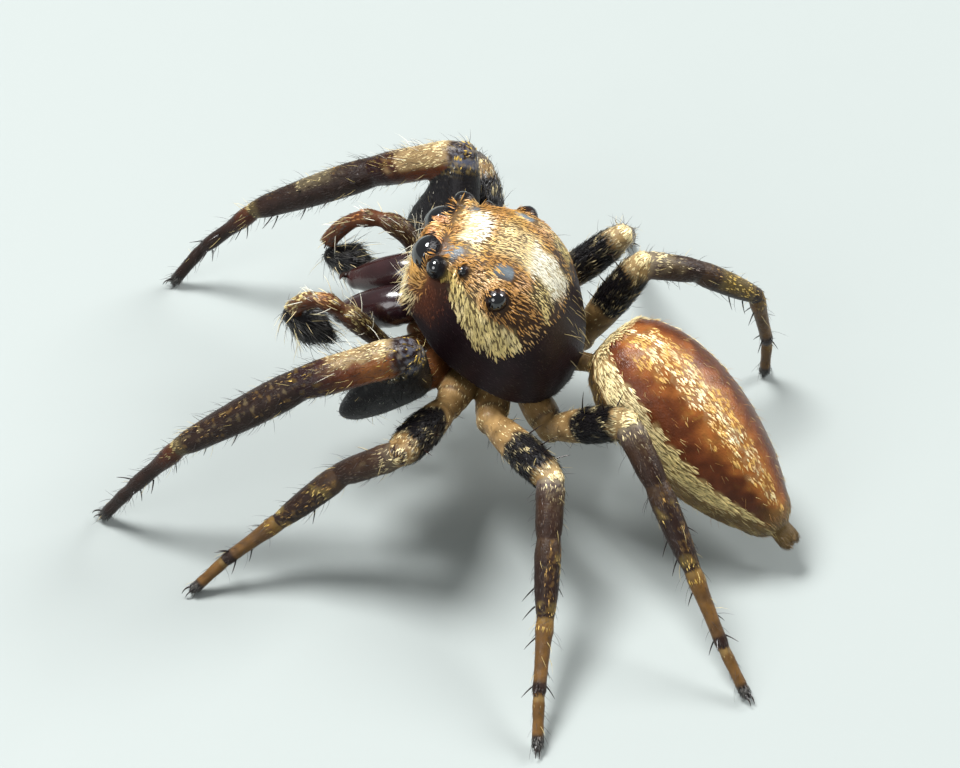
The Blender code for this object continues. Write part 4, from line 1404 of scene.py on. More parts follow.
@dataclass(frozen=True)
class HardFinish:
    """Glossy hard cuticle of jaws, fangs, claws and spines."""
    name: str
    colour: Colour
    colour_tip: Colour
    roughness: float
    coat: float = 0.5
    coat_roughness: float = 0.08
    fineness: float = 26000.0
    pit_height: float = 0.004

    def build(self, tools: ShaderTools) -> bpy.types.Material:
        """Make the material.

        Args:
            tools: The shared node groups.

        Returns:
            The material.
        """
        made, net, shader = new_material(self.name)
        grain = net.add("Group", {"Fineness": self.fineness}, node_tree=tools.grain)
        mix = net.add("Mix", {"Factor": net.read("reach"), "A": (*self.colour, 1.0),
                              "B": (*self.colour_tip, 1.0)}, data_type="RGBA")
        bump = net.add("Bump", {"Distance": self.pit_height * MM, "Height": grain.outputs["Height"]})
        net.feed(shader, {"Base Color": net.tone(mix.outputs["Result"], grain.outputs["Tone"]),
                          "Normal": bump.outputs["Normal"], "Roughness": self.roughness,
                          "Coat Weight": self.coat, "Coat Roughness": self.coat_roughness})
        return made


@dataclass(frozen=True)
class LensFinish:
    """Deep black eye lens with a faint brown ring at its edge."""
    edge: tuple = (0.35, (0.030, 0.018, 0.012, 1.0))
    depth: tuple = (0.62, (0.004, 0.004, 0.005, 1.0))
    roughness: float = 0.05
    coat_roughness: float = 0.02

    def build(self) -> bpy.types.Material:
        """Make the material.

        Returns:
            The material.
        """
        made, net, shader = new_material("eye_lens")
        ramp = net.add("ValToRGB", {"Fac": net.read("reach")})
        for k, (place, colour) in enumerate((self.edge, self.depth)):
            stop = ramp.color_ramp.elements[k]
            stop.position, stop.color = place, colour
        net.feed(shader, {"Base Color": ramp.outputs["Color"], "Roughness": self.roughness,
                          "Coat Weight": 1.0, "Coat Roughness": self.coat_roughness})
        return made


# ---- making pieces --------------------

def make_piece(name: str, points: np.ndarray, faces: np.ndarray, material: bpy.types.Material,
               numbers: dict[str, np.ndarray], smooth: bool = True,
               colours: dict[str, np.ndarray] | None = None, vectors: dict[str, np.ndarray] | None = None,
               chart: np.ndarray | None = None) -> bpy.types.Object:
    """Turn arrays into a mesh object that rides on the model.

    Args:
        name: Piece name.
        points: Points in millimetres.
        faces: Faces, all with the same number of corners.
        material: Its finish.
        numbers: Number attributes of the points.
        smooth: Whether faces are shaded smooth.
        colours: Colour attributes of the points.
        vectors: Vector attributes of the points.
        chart: Places of the points on the bake map, if it has one.

    Returns:
        The new object.
    """
    mesh = bpy.data.meshes.new(name)
    corners = faces.shape[1]
    mesh.vertices.add(len(points))
    mesh.vertices.foreach_set("co", (points * MM).astype(np.float32).ravel())
    mesh.loops.add(faces.size)
    mesh.loops.foreach_set("vertex_index", faces.astype(np.int32).ravel())
    mesh.polygons.add(len(faces))
    mesh.polygons.foreach_set("loop_start", (np.arange(len(faces)) * corners).astype(np.int32))
    mesh.update(calc_edges=True)
    for label, values in numbers.items():
        mesh.attributes.new(label, "FLOAT", "POINT").data.foreach_set("value", values.astype(np.float32))
    for label, values in (vectors or {}).items():
        layer = mesh.attributes.new(label, "FLOAT_VECTOR", "POINT")
        layer.data.foreach_set("vector", values.astype(np.float32).ravel())
    for label, values in (colours or {}).items():
        layer = mesh.attributes.new(label, "FLOAT_COLOR", "POINT")
        full = np.hstack((values, np.ones((len(values), 1))))
        layer.data.foreach_set("color", full.astype(np.float32).ravel())
    if chart is not None:
        layer = mesh.uv_layers.new(name="OFBake")
        layer.uv.foreach_set("vector", chart[faces.ravel()].astype(np.float32).ravel())
    mesh.polygons.foreach_set("use_smooth", np.full(len(faces), smooth))
    mesh.materials.append(material)
    mesh.validate()
    made = add_object(name, mesh)
    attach(made, "root")
    log.info("%s: %d points, %d faces", name, len(points), len(faces))
    return made


class Skin:
    """The one skin that replaces all the nodes of flesh."""
    voxel: float = 0.025
    rounds: int = 7
    pulls: tuple = (0.55, -0.53)
    floor_gap: float = 0.004

    def cast(self, mould: Mould) -> None:
        """Fuse the mould's lofts into one closed surface and relax it.

        Args:
            mould: The lofts of the whole animal.
        """
        points = np.vstack(mould.points)
        mesh = bpy.data.meshes.new("mould")
        mesh.from_pydata(points.tolist(), [], mould.faces)
        cast = add_object("mould", mesh)
        fuse = cast.modifiers.new("fuse", "REMESH")
        fuse.mode = "VOXEL"
        fuse.voxel_size = self.voxel
        graph = bpy.context.evaluated_depsgraph_get()
        fused = bpy.data.meshes.new_from_object(cast.evaluated_get(graph), depsgraph=graph)
        count = len(fused.vertices)
        flat = np.zeros(count * 3, np.float32)
        fused.vertices.foreach_get("co", flat)
        self.points = flat.reshape(-1, 3).astype(float)
        loops = np.zeros(len(fused.loops), np.int32)
        fused.loops.foreach_get("vertex_index", loops)
        self.faces = loops.reshape(-1, 4)
        bpy.data.objects.remove(cast)
        bpy.data.meshes.remove(fused)
        bpy.data.meshes.remove(mesh)
        self.relax()
        self.points[:, 2] = np.maximum(self.points[:, 2], self.floor_gap)
        self.measure_normals()
        self.label(points, mould)

    def relax(self) -> None:
        """Smooth away the voxel steps without shrinking, by turns of easing in and out."""
        a = self.faces.ravel()
        b = np.roll(self.faces, -1, axis=1).ravel()
        count = len(self.points)
        degree = np.bincount(a, minlength=count) + np.bincount(b, minlength=count)
        for _ in range(self.rounds):
            for pull in self.pulls:
                near = [np.bincount(a, self.points[b, k], count) + np.bincount(b, self.points[a, k], count)
                        for k in range(3)]
                mean = np.stack(near, axis=1) / degree[:, None]
                self.points += pull * (mean - self.points)

    def measure_normals(self) -> None:
        """Work out a normal at each point from the faces round it."""
        p = self.points[self.faces]
        flat = np.cross(p[:, 2] - p[:, 0], p[:, 3] - p[:, 1])
        corners = self.faces.ravel()
        sums = [np.bincount(corners, np.repeat(flat[:, k], 4), len(self.points)) for k in range(3)]
        self.normals = unit(np.stack(sums, axis=1))

    def label(self, points: np.ndarray, mould: Mould) -> None:
        """Give each point the region and limb of the nearest loft.

        Args:
            points: Points in millimetres.
            mould: The lofts of the whole animal.
        """
        tree = BVHTree.FromPolygons(points.tolist(), mould.faces)
        labels = np.array(mould.labels)
        nearest = np.array([tree.find_nearest(Vector(p))[2] for p in self.points])
        self.region, self.limb = labels[nearest].T

    def triangles(self) -> np.ndarray:
        """The faces as triangles."""
        return halved(self.faces)


class Chart:
    """An unwrap of the skin's own shape: each region laid flat by its own length and girth."""
    body_radius: float = 0.95
    abdomen_radius: float = 0.7
    arm_length: float = 1.9
    arm_radius: float = 0.13
    leg_radius: float = 0.2
    lane: float = 1.5
    gap: float = 0.1

    def __init__(self, painter: Painter) -> None:
        """Keep the parts whose coordinates the unwrap follows."""
        self.painter = painter

    def places(self, points: np.ndarray, region: np.ndarray, limb: np.ndarray) -> np.ndarray:
        """Lay coordinates in millimetres, along and across the coat, with each region in a place of its own.

        Args:
            points: Points in millimetres.
            region: Part of the body of each point.
            limb: Leg or feeler of each point.

        Returns:
            Two coordinates for each point.
        """
        made = np.zeros((len(points), 2))
        body = np.isin(region, (Region.SHIELD, Region.UNDER))
        q = self.painter.stance.unbody(points[body])
        lap = np.arctan2(q[:, 0], q[:, 2] - 0.4)
        made[body] = np.stack([q[:, 1], lap * self.body_radius], axis=1)
        rear = np.isin(region, (Region.WAIST, Region.ABDOMEN, Region.SPINNERET))
        share, angle = self.painter.abdomen.coordinates(points[rear])
        made[rear] = np.stack([share * self.painter.abdomen.length, np.radians(angle) * self.abdomen_radius],
                              axis=1)
        for k in range(2):
            arm = limb == self.painter.feelers.first_limb + k
            q = points[arm]
            share, _ = self.painter.feelers.share(q, k)
            route = self.painter.feelers.routes[k]
            out = q - route[np.round(share * (len(route) - 1)).astype(int)]
            lap = np.arctan2(out[:, 0], out[:, 2])
            made[arm] = np.stack([share * self.arm_length, lap * self.arm_radius + self.lane * k], axis=1)
        for leg in self.painter.limbs:
            lead = 0.0
            for piece in range(6):
                where = (region == int(Region.COXA) + piece) & (limb == leg.index)
                run, across, top = leg.axes(piece)
                q = points[where] - leg.joints[piece]
                lap = np.arctan2(q @ across, q @ top)
                across_it = lap * self.leg_radius + self.lane * leg.index
                made[where] = np.stack([lead + q @ run, across_it], axis=1)
                lead += float(np.linalg.norm(leg.joints[piece + 1] - leg.joints[piece])) + self.gap
        return made


# ---- coat --------------------

class Cut(Enum):
    """Shape of a tuft: ring shares along it with the width there."""
    LEAF = ((0.16, 0.80), (0.60, 1.0))
    HAIR = ((0.05, 1.0), (0.55, 0.62))
    BRISTLE = ((0.03, 1.0), (0.40, 0.80), (0.75, 0.48))


@dataclass
class Roots:
    """Where tufts grow, and which way."""
    points: np.ndarray
    normals: np.ndarray
    flow: np.ndarray
    scale: np.ndarray
    reach: np.ndarray
    breadth: np.ndarray
    lift: np.ndarray
    chart: np.ndarray

    def __len__(self) -> int:
        """How many roots there are."""
        return len(self.points)


class Coat:
    """Grows tufts on the skin and joins them into a few pieces."""
    patch: float = 0.003
    root_depth: float = 0.008
    floor_gap: float = 0.002
    lengths: tuple[float, float] = (0.72, 1.22)
    lifts: tuple[float, float] = (0.5, 1.5)
    widths: tuple[float, float] = (0.75, 1.25)
    vary: float = 0.24

    def __init__(self, skin: Skin, marks: Markings, lay: np.ndarray) -> None:
        """Keep the skin, its markings and its lay coordinates.

        Args:
            skin: The cast skin.
            marks: Its markings, one row for each of its points.
            lay: Unwrap coordinates of its points, in millimetres.
        """
        self.skin, self.marks, self.lay = skin, marks, lay
        self.triangles = skin.triangles()
        p = skin.points[self.triangles]
        self.area = np.linalg.norm(np.cross(p[:, 1] - p[:, 0], p[:, 2] - p[:, 0]), axis=1) / 2
        self.rng = np.random.default_rng(SEED)

    def cover(self, where: np.ndarray, layers: float = 2.7) -> Roots:
        """Roots for scales that hide the skin as much as its markings say.

        Args:
            where: Which skin points take part.
            layers: How thickly they overlap at full cover.

        Returns:
            The roots.
        """
        m = self.marks
        return self.scatter(where * m.cover / (m.reach * m.breadth), layers)

    def scatter(self, weight: np.ndarray, density: float) -> Roots:
        """Choose roots on the skin.

        Args:
            weight: Share of the full density wanted at each skin point.
            density: Roots in each square millimetre at full weight.

        Returns:
            The roots, with the skin's fields read at each.
        """
        wanted = self.area * weight[self.triangles].mean(axis=1) * density
        total = wanted.sum()
        count = int(round(total))
        spots = (np.arange(count) + self.rng.random(count)) / max(count, 1) * total
        chosen = np.minimum(np.searchsorted(np.cumsum(wanted), spots), len(wanted) - 1)
        a, b = self.rng.random(count), self.rng.random(count)
        over = a + b > 1
        a[over], b[over] = 1 - a[over], 1 - b[over]
        share = np.stack([1 - a - b, a, b], axis=1)
        corner = self.triangles[chosen]

        def read(values: np.ndarray) -> np.ndarray:
            """Values of the skin's points at the roots."""
            return np.einsum("ij,ij...->i...", share, values[corner])

        m = self.marks
        return Roots(read(self.skin.points), unit(read(self.skin.normals)), read(m.flow), read(m.scale),
                     read(m.reach), read(m.breadth), read(m.lift), self.lay[corner[:, 0]])

    def grow(self, name: str, roots: Roots, cut: Cut, material: bpy.types.Material,
             width: float | None = None, length: np.ndarray | None = None, lift: np.ndarray | None = None,
             spread: float = 7.0, droop: float = 0.25, tint: np.ndarray | None = None,
             flat: float = 0.20) -> bpy.types.Object:
        """Grow one tuft from each root and join them.

        Args:
            name: Piece name.
            roots: Where they grow.
            cut: Shape of each tuft.
            material: Its finish.
            width: Full width of a tuft, or the markings' own.
            length: Length of each tuft, or the markings' own.
            lift: Degrees each stands off the skin, or the markings' own.
            spread: Degrees by which tufts stray to the side.
            droop: How far the tip bends back along the coat, as a share of the length.
            tint: Colour of each tuft, or the markings' scale colour.
            flat: Thickness over width.

        Returns:
            The piece.
        """
        rng, count = self.rng, len(roots)
        length = roots.reach if length is None else length
        length = length * rng.uniform(*self.lengths, count)
        lift = np.radians((roots.lift if lift is None else lift) * rng.uniform(*self.lifts, count))
        flow = unit(roots.flow - dot(roots.flow, roots.normals)[:, None] * roots.normals)
        side = np.cross(flow, roots.normals)
        stray = np.radians(rng.normal(0, spread, count) + spread * ripple(roots.points, 0.14, 51))
        flow = flow * np.cos(stray)[:, None] + side * np.sin(stray)[:, None]
        way = flow * np.cos(lift)[:, None] + roots.normals * np.sin(lift)[:, None]
        across = unit(np.cross(way, roots.normals))
        over = np.cross(across, way)
        root = roots.points - roots.normals * self.root_depth
        breadth = roots.breadth if width is None else width
        half = (breadth / 2 * rng.uniform(*self.widths, count))[:, None]
        bend = (flow - way * dot(flow, way)[:, None] - 0.25 * roots.normals) * droop
        rows, chart, reach = [root], [np.zeros((count, 2))], [np.zeros(count)]
        chart[0][:, 1] = -0.5
        for share, breadth in cut.value:
            middle = root + way * (length * share)[:, None] + bend * (length * share ** 2)[:, None]
            for sideways, upward in ((-1, 0.0), (1, 0.0), (0.15, 1.0)):
                rows.append(middle + across * half * breadth * sideways
                            + over * half * 2 * flat * breadth * upward)
                chart.append(np.tile((0.5 * sideways, share - 0.5 + 0.05 * upward), (count, 1)))
                reach.append(np.full(count, share))
        rows.append(root + way * length[:, None] + bend * length[:, None])
        chart.append(np.tile((0.0, 0.5), (count, 1)))
        reach.append(np.ones(count))
        each = len(rows)
        points = np.stack(rows, axis=1).reshape(-1, 3)
        points[:, 2] = np.maximum(points[:, 2], self.floor_gap)
        low, high = roots.chart.min(axis=0), roots.chart.max(axis=0)
        spot = 0.01 + 0.98 * (roots.chart - low) / np.maximum(high - low, 1e-9)
        places = spot[:, None, :] + np.stack(chart, axis=1) * self.patch
        faces = (np.arange(count)[:, None, None] * each + self.pattern(len(cut.value))).reshape(-1, 3)
        colour = roots.scale if tint is None else tint
        tone = rng.uniform(1 - self.vary, 1 + self.vary, count) * (1 + 0.12 * ripple(roots.points, 0.07, 53))
        colour = np.clip(colour * tone[:, None], 0, 1)
        made = make_piece(name, points, faces, material, smooth=cut in (Cut.HAIR, Cut.BRISTLE),
                          numbers={"reach": np.stack(reach, axis=1).ravel()},
                          colours={"tint": np.repeat(colour, each, axis=0)},
                          chart=places.reshape(-1, 2))
        return made

    @staticmethod
    def pattern(rings: int) -> np.ndarray:
        """Triangles of one tuft: root, rings of three, tip.

        Args:
            rings: Number of rings of a tuft.

        Returns:
            Three point numbers for each triangle.
        """
        tip = 1 + 3 * rings
        faces = []
        for a, b in ((0, 1), (1, 2), (2, 0)):
            faces.append((1 + a, 1 + b, 0))
            for k in range(rings - 1):
                near, far = 1 + 3 * k, 4 + 3 * k
                faces.append((near + b, near + a, far + a))
                faces.append((near + b, far + a, far + b))
            faces.append((tip - 3 + b, tip - 3 + a, tip))
        return np.array(faces)


# ---- hard parts --------------------

@dataclass
class Eyes:
    """Eight lenses, each in place of its solid."""
    rows: int = 34
    sides: int = 56
    bulge: float = 0.04

    def build(self, stance: Stance, shield: HeadShield, material: bpy.types.Material) -> None:
        """Make a lens at each eye's solid, turned to look outward.

        Args:
            stance: How the front body stands.
            shield: The head shield, which places the eyes.
            material: Finish of the pieces.
        """
        for name, (centre, radius) in shield.eyes.items():
            for side in SIDES:
                node = f"eye_{name}_{side}"
                place = np.array(mirrored(centre, side))
                self.build_lens(f"lens_{name}_{side}", node, stance.turn @ shield.gaze(name, place), radius,
                                material)

    def build_lens(self, name: str, node: str, gaze: np.ndarray, radius: float,
                   material: bpy.types.Material) -> None:
        """One lens: a ball whose front bulges a little.

        Args:
            name: Name of the piece.
            node: Solid that it replaces.
            gaze: Direction in which it looks.
            radius: Its radius.
            material: Finish of the pieces.
        """
        tilt = np.linspace(0.02, math.pi - 0.02, self.rows)
        lap = np.linspace(0, math.tau, self.sides, endpoint=False)
        side = unit(np.cross(gaze, (0, 0, 1.0)))
        over = np.cross(side, gaze)
        size = radius * (1 + self.bulge * np.clip(np.cos(tilt), 0, 1) ** 3 - self.bulge)
        ring = np.cos(lap)[:, None] * side + np.sin(lap)[:, None] * over
        points = (size[:, None, None] * (np.cos(tilt)[:, None, None] * gaze
                                         + np.sin(tilt)[:, None, None] * ring)) + node_centre(node)
        reach = np.repeat(0.5 + 0.5 * np.cos(tilt), self.sides)
        quads, caps = loft_faces(self.rows, self.sides)
        all_points = np.vstack((points.reshape(-1, 3), points[0].mean(axis=0), points[-1].mean(axis=0)))
        triangles = np.vstack((halved(quads[:, ::-1]), caps[:, [1, 0, 2]]))
        lens = make_piece(name, all_points, triangles, material,
                          numbers={"reach": np.concatenate((reach, (1.0, 0.0)))})
        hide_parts(node)


@dataclass
class Jaws:
    """Two jaws that lean forward, each with a fang folded under its tip."""
    root: tuple = (0.285, -1.14, -0.06)
    tip: tuple = (0.310, -1.76, -0.62)
    keys: tuple = ((0.0, 0.21, 0.23), (0.15, 0.235, 0.255), (0.45, 0.235, 0.245), (0.80, 0.19, 0.185),
                   (1.0, 0.14, 0.13))
    inner_face: float = 0.016
    round_ends: tuple[float, float] = (0.23, 0.165)
    sides: int = 48
    fang_radii: tuple[float, float] = (0.055, 0.006)

    def build(self, stance: Stance, jaw: bpy.types.Material, fang: bpy.types.Material) -> None:
        """Make both jaws and fangs.

        Args:
            stance: How the front body stands.
            jaw: Finish of the jaws.
            fang: Finish of the fangs.
        """
        for side in SIDES:
            start, end = (stance.body(mirrored(point, side)) for point in (self.root, self.tip))
            run = unit(end - start)
            across = np.array((1.0, 0, 0))
            top = np.cross(run, across) * -1
            share = np.concatenate((np.linspace(-0.22, 0, 8, endpoint=False), np.linspace(0, 1, 40),
                                    np.linspace(1, 1.16, 9)[1:]))
            width, depth = curve_through(self.keys, np.clip(share, 0, 1)).T
            round_ = np.sqrt(np.clip(1 - (np.minimum(share, 0) / self.round_ends[0]) ** 2, 0, 1))
            round_ *= np.sqrt(np.clip(1 - (np.maximum(share - 1, 0) / self.round_ends[1]) ** 2, 0, 1))
            lap = np.linspace(0, math.tau, self.sides, endpoint=False)
            wrinkle = 1 + 0.012 * np.sin(share * 46)[:, None] * np.clip(np.sin(lap), 0, 1)[None, :]
            length = np.linalg.norm(end - start)
            spine = start + run * (share * length)[:, None]
            points = (spine[:, None, :]
                      + ((width * round_)[:, None] * np.cos(lap)[None, :] * wrinkle)[..., None] * across
                      + ((depth * round_)[:, None] * np.sin(lap)[None, :] * wrinkle)[..., None] * top)
            sign = 1 if side == "left" else -1
            points[..., 0] = sign * np.maximum(points[..., 0] * sign,
                                               self.inner_face + stance.origin[0] * sign)
            quads, _ = loft_faces(*points.shape[:2])
            made = make_piece(f"chelicera_{side}", points.reshape(-1, 3), quads, jaw,
                              numbers={"reach": np.repeat(np.clip(share, 0, 1), self.sides)})
            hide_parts(f"jaw_{side}")
            base = end + run * 0.06 - top * 0.03 + across * sign * 0.04
            route = np.array([base, base + run * 0.10 - top * 0.02, base + run * 0.12 - top * 0.10
                              - across * sign * 0.10, base + run * 0.05 - top * 0.13 - across * sign * 0.22])
            points, faces, reach = spike(spline(route, 14), *self.fang_radii)
            made = make_piece(f"fang_{side}", points, faces, fang, numbers={"reach": reach})


def spike(route: np.ndarray, thick: float, fine: float, sides: int = 10) -> Horn:
    """A tapered horn along a route.

    Args:
        route: Points from root to tip.
        thick: Radius at the root.
        fine: Radius at the tip.
        sides: Points round it.

    Returns:
        Its points, triangles, and share from root to tip for each point.
    """
    share = np.linspace(0, 1, len(route))
    rings = rings_along(route, fine + (thick - fine) * (1 - share) ** 0.8, sides, (0.31, 0.22, 0.93))
    tip = route[-1] + unit(np.gradient(route, axis=0))[-1] * fine
    points = np.vstack((rings.reshape(-1, 3), route[0], tip))
    quads, caps = loft_faces(len(route), sides)
    faces = np.vstack((halved(quads), caps))
    return points, faces, np.concatenate((np.repeat(share, sides), (0.0, 1.0)))


def join_spikes(parts: Sequence[Horn]) -> Horn:
    """Join spikes into one set of points, faces and shares.

    Args:
        parts: Points, triangles and shares of each spike.

    Returns:
        Points, triangles and shares of all of them.
    """
    faces, base = [], 0
    for points, part, _ in parts:
        faces.append(part + base)
        base += len(points)
    return np.vstack([p[0] for p in parts]), np.vstack(faces), np.concatenate([p[2] for p in parts])


@dataclass
class LegHardware:
    """Claws at the feet and the stiff black spines of the legs."""
    spines: dict = field(default_factory=lambda: {
        # piece: rows of (share, degrees round from the top, length)
        1: ((0.48, 0, 0.26), (0.66, 8, 0.24), (0.82, -22, 0.20), (0.84, 30, 0.20)),
        3: ((0.35, 150, 0.20), (0.62, -150, 0.20), (0.86, 155, 0.19), (0.86, -155, 0.19), (0.55, 85, 0.17)),
        4: ((0.25, 150, 0.19), (0.25, -150, 0.19), (0.60, 100, 0.15), (0.88, 60, 0.15), (0.88, -60, 0.15),
            (0.90, 145, 0.16), (0.90, -145, 0.16))})
    skin_radius: dict = field(default_factory=lambda: {1: 0.19, 3: 0.15, 4: 0.095})
    claw_radii: tuple[float, float] = (0.014, 0.003)
    spine_radii: tuple[float, float] = (0.011, 0.002)
    claw_height: float = 0.015
    root_depth: float = 0.02
    floor_gap: float = 0.002

    def build(self, limbs: Sequence[Limb], material: bpy.types.Material) -> None:
        """Make the claws and spines of all eight legs.

        Args:
            limbs: The eight legs.
            material: Finish of the pieces.
        """
        claws, spines = [], []
        for leg in limbs:
            run, across, _ = leg.axes(5)
            ahead = unit(run * np.array((1, 1, 0.0)))
            down = np.array((0, 0, -1.0))
            for sign in (1, -1):
                base = leg.joints[6] + ahead * 0.03 + across * sign * 0.03 + np.array((0, 0, 0.02))
                route = np.array([base, base + ahead * 0.05, base + ahead * 0.10 + down * 0.02,
                                  base + ahead * 0.12 + down * 0.08])
                route[:, 2] = np.maximum(route[:, 2], self.claw_height)
                claws.append(spike(spline(route, 9), *self.claw_radii, sides=7))
            for piece, rows in self.spines.items():
                if leg.number == 1 and piece == 1:
                    continue
                spines += [self.spine(leg, piece, *row) for row in rows]
        for name, parts in (("leg_claws", claws), ("leg_spines", spines)):
            points, faces, reach = join_spikes(parts)
            points[:, 2] = np.maximum(points[:, 2], self.floor_gap)
            made = make_piece(name, points, faces, material, numbers={"reach": reach})

    def spine(self, leg: Limb, piece: int, share: float, degrees: float, length: float) -> Horn:
        """One spine, leaning towards the foot.

        Args:
            leg: The leg.
            piece: Number of the piece, with the coxa as 0.
            share: Place along the piece.
            degrees: Place round it, from its top.
            length: Length of the spine.

        Returns:
            Its points, triangles and shares.
        """
        run, across, top = leg.axes(piece)
        start = leg.joints[piece] + (leg.joints[piece + 1] - leg.joints[piece]) * share
        a = math.radians(degrees)
        out = top * math.cos(a) + across * math.sin(a)
        radius = self.skin_radius[piece] * (1.25 if leg.number == 1 else 1.0)
        root = start + out * (radius - self.root_depth)
        lean = 0.75 if piece == 1 else 1.5
        way = unit(out + run * lean * 0.6)
        route = np.array([root, root + way * length * 0.35, root + way * length * 0.7 + run * 0.01,
                          root + way * length + run * 0.03])
        return spike(spline(route, 8), *self.spine_radii, sides=6)


# ---- studio --------------------

@dataclass
class Studio:
    """Pale floor, soft lights and the camera."""
    azimuth: float = 102.116
    elevation: float = 45.551
    roll: float = 3.409
    distance: float = 32.727
    lens: float = 102.5
    target: tuple = (0.361, -0.138, 1.2)
    # rows of (name, place, diameter, watts)
    lights: tuple = (("key", (-24, -80, 176), 80, 0.656), ("fill", (144, -80, 96), 104, 0.128),
                     ("rim", (-120, 128, 128), 96, 0.416))
    surround: tuple = (0.80, 0.86, 0.88, 1.0)
    surround_strength: float = 0.32
    floor_colour: tuple = (0.31, 0.34, 0.33, 1.0)
    floor_half: float = 300.0
    floor_tiles: int = 8

    def build(self, stance: Stance) -> None:
        """Make the floor, the lights and the camera.

        Args:
            stance: How the front body stands.
        """
        self.build_floor()
        self.build_camera(stance)
        self.build_lights()

    def build_floor(self) -> None:
        """A wide pale floor."""
        half, fine = self.floor_half, self.floor_tiles
        grid = np.linspace(-half, half, fine + 1)
        points = np.array([(x, y, 0.0) for y in grid for x in grid])
        a = (np.arange(fine)[:, None] * (fine + 1) + np.arange(fine)[None, :]).ravel()
        faces = np.stack([a, a + 1, a + fine + 2, a + fine + 1], axis=1)
        made, net, shader = new_material("studio_floor")
        rough = net.add("MapRange", {"Value": net.add("TexNoise", {"Scale": 900.0}).outputs["Fac"],
                                     "To Min": 0.58, "To Max": 0.66})
        net.feed(shader, {"Roughness": rough.outputs["Result"], "Base Color": self.floor_colour})
        mesh = bpy.data.meshes.new("floor")
        mesh.from_pydata((points * MM).tolist(), [], faces.tolist())
        mesh.materials.append(made)
        floor = add_object("floor", mesh)

    def build_camera(self, stance: Stance) -> None:
        """A long lens above the animal's left side.

        Args:
            stance: How the front body stands.
        """
        a, e, r = (math.radians(v) for v in (self.azimuth, self.elevation, self.roll))
        back = Vector((math.sin(a) * math.cos(e), -math.cos(a) * math.cos(e), math.sin(e)))
        right = Vector((math.cos(a), math.sin(a), 0.0))
        up = back.cross(right)
        right, up = right * math.cos(r) + up * math.sin(r), up * math.cos(r) - right * math.sin(r)
        data = bpy.data.cameras.new("camera")
        data.lens = self.lens
        data.sensor_width = 36.0
        data.clip_start, data.clip_end = 0.001, 2.0
        camera = add_object("camera", data)
        target = Vector(stance.place(self.target) * MM)
        turn = Matrix((right, up, back)).transposed().to_4x4()
        camera.matrix_world = Matrix.Translation(target + back * self.distance * MM) @ turn
        bpy.context.scene.camera = camera

    def build_lights(self) -> None:
        """A broad overhead light, a softer one from the front and a pale surround."""
        for name, place, size, power in self.lights:
            data = bpy.data.lights.new(name, "AREA")
            data.shape = "DISK"
            data.size = size * MM
            data.energy = power
            lamp = add_object(name, data)
            lamp.location = Vector(place) * MM
            lamp.rotation_mode = "QUATERNION"
            lamp.rotation_quaternion = Vector(place).to_track_quat("Z", "Y")
        world = bpy.data.worlds.new("surround")
        world.use_nodes = True
        Wiring(world.node_tree).feed(world.node_tree.nodes["Background"],
                                     {"Color": self.surround, "Strength": self.surround_strength})
        bpy.context.scene.world = world
        bpy.context.scene.view_settings.view_transform = "Standard"


# ---- the animal --------------------

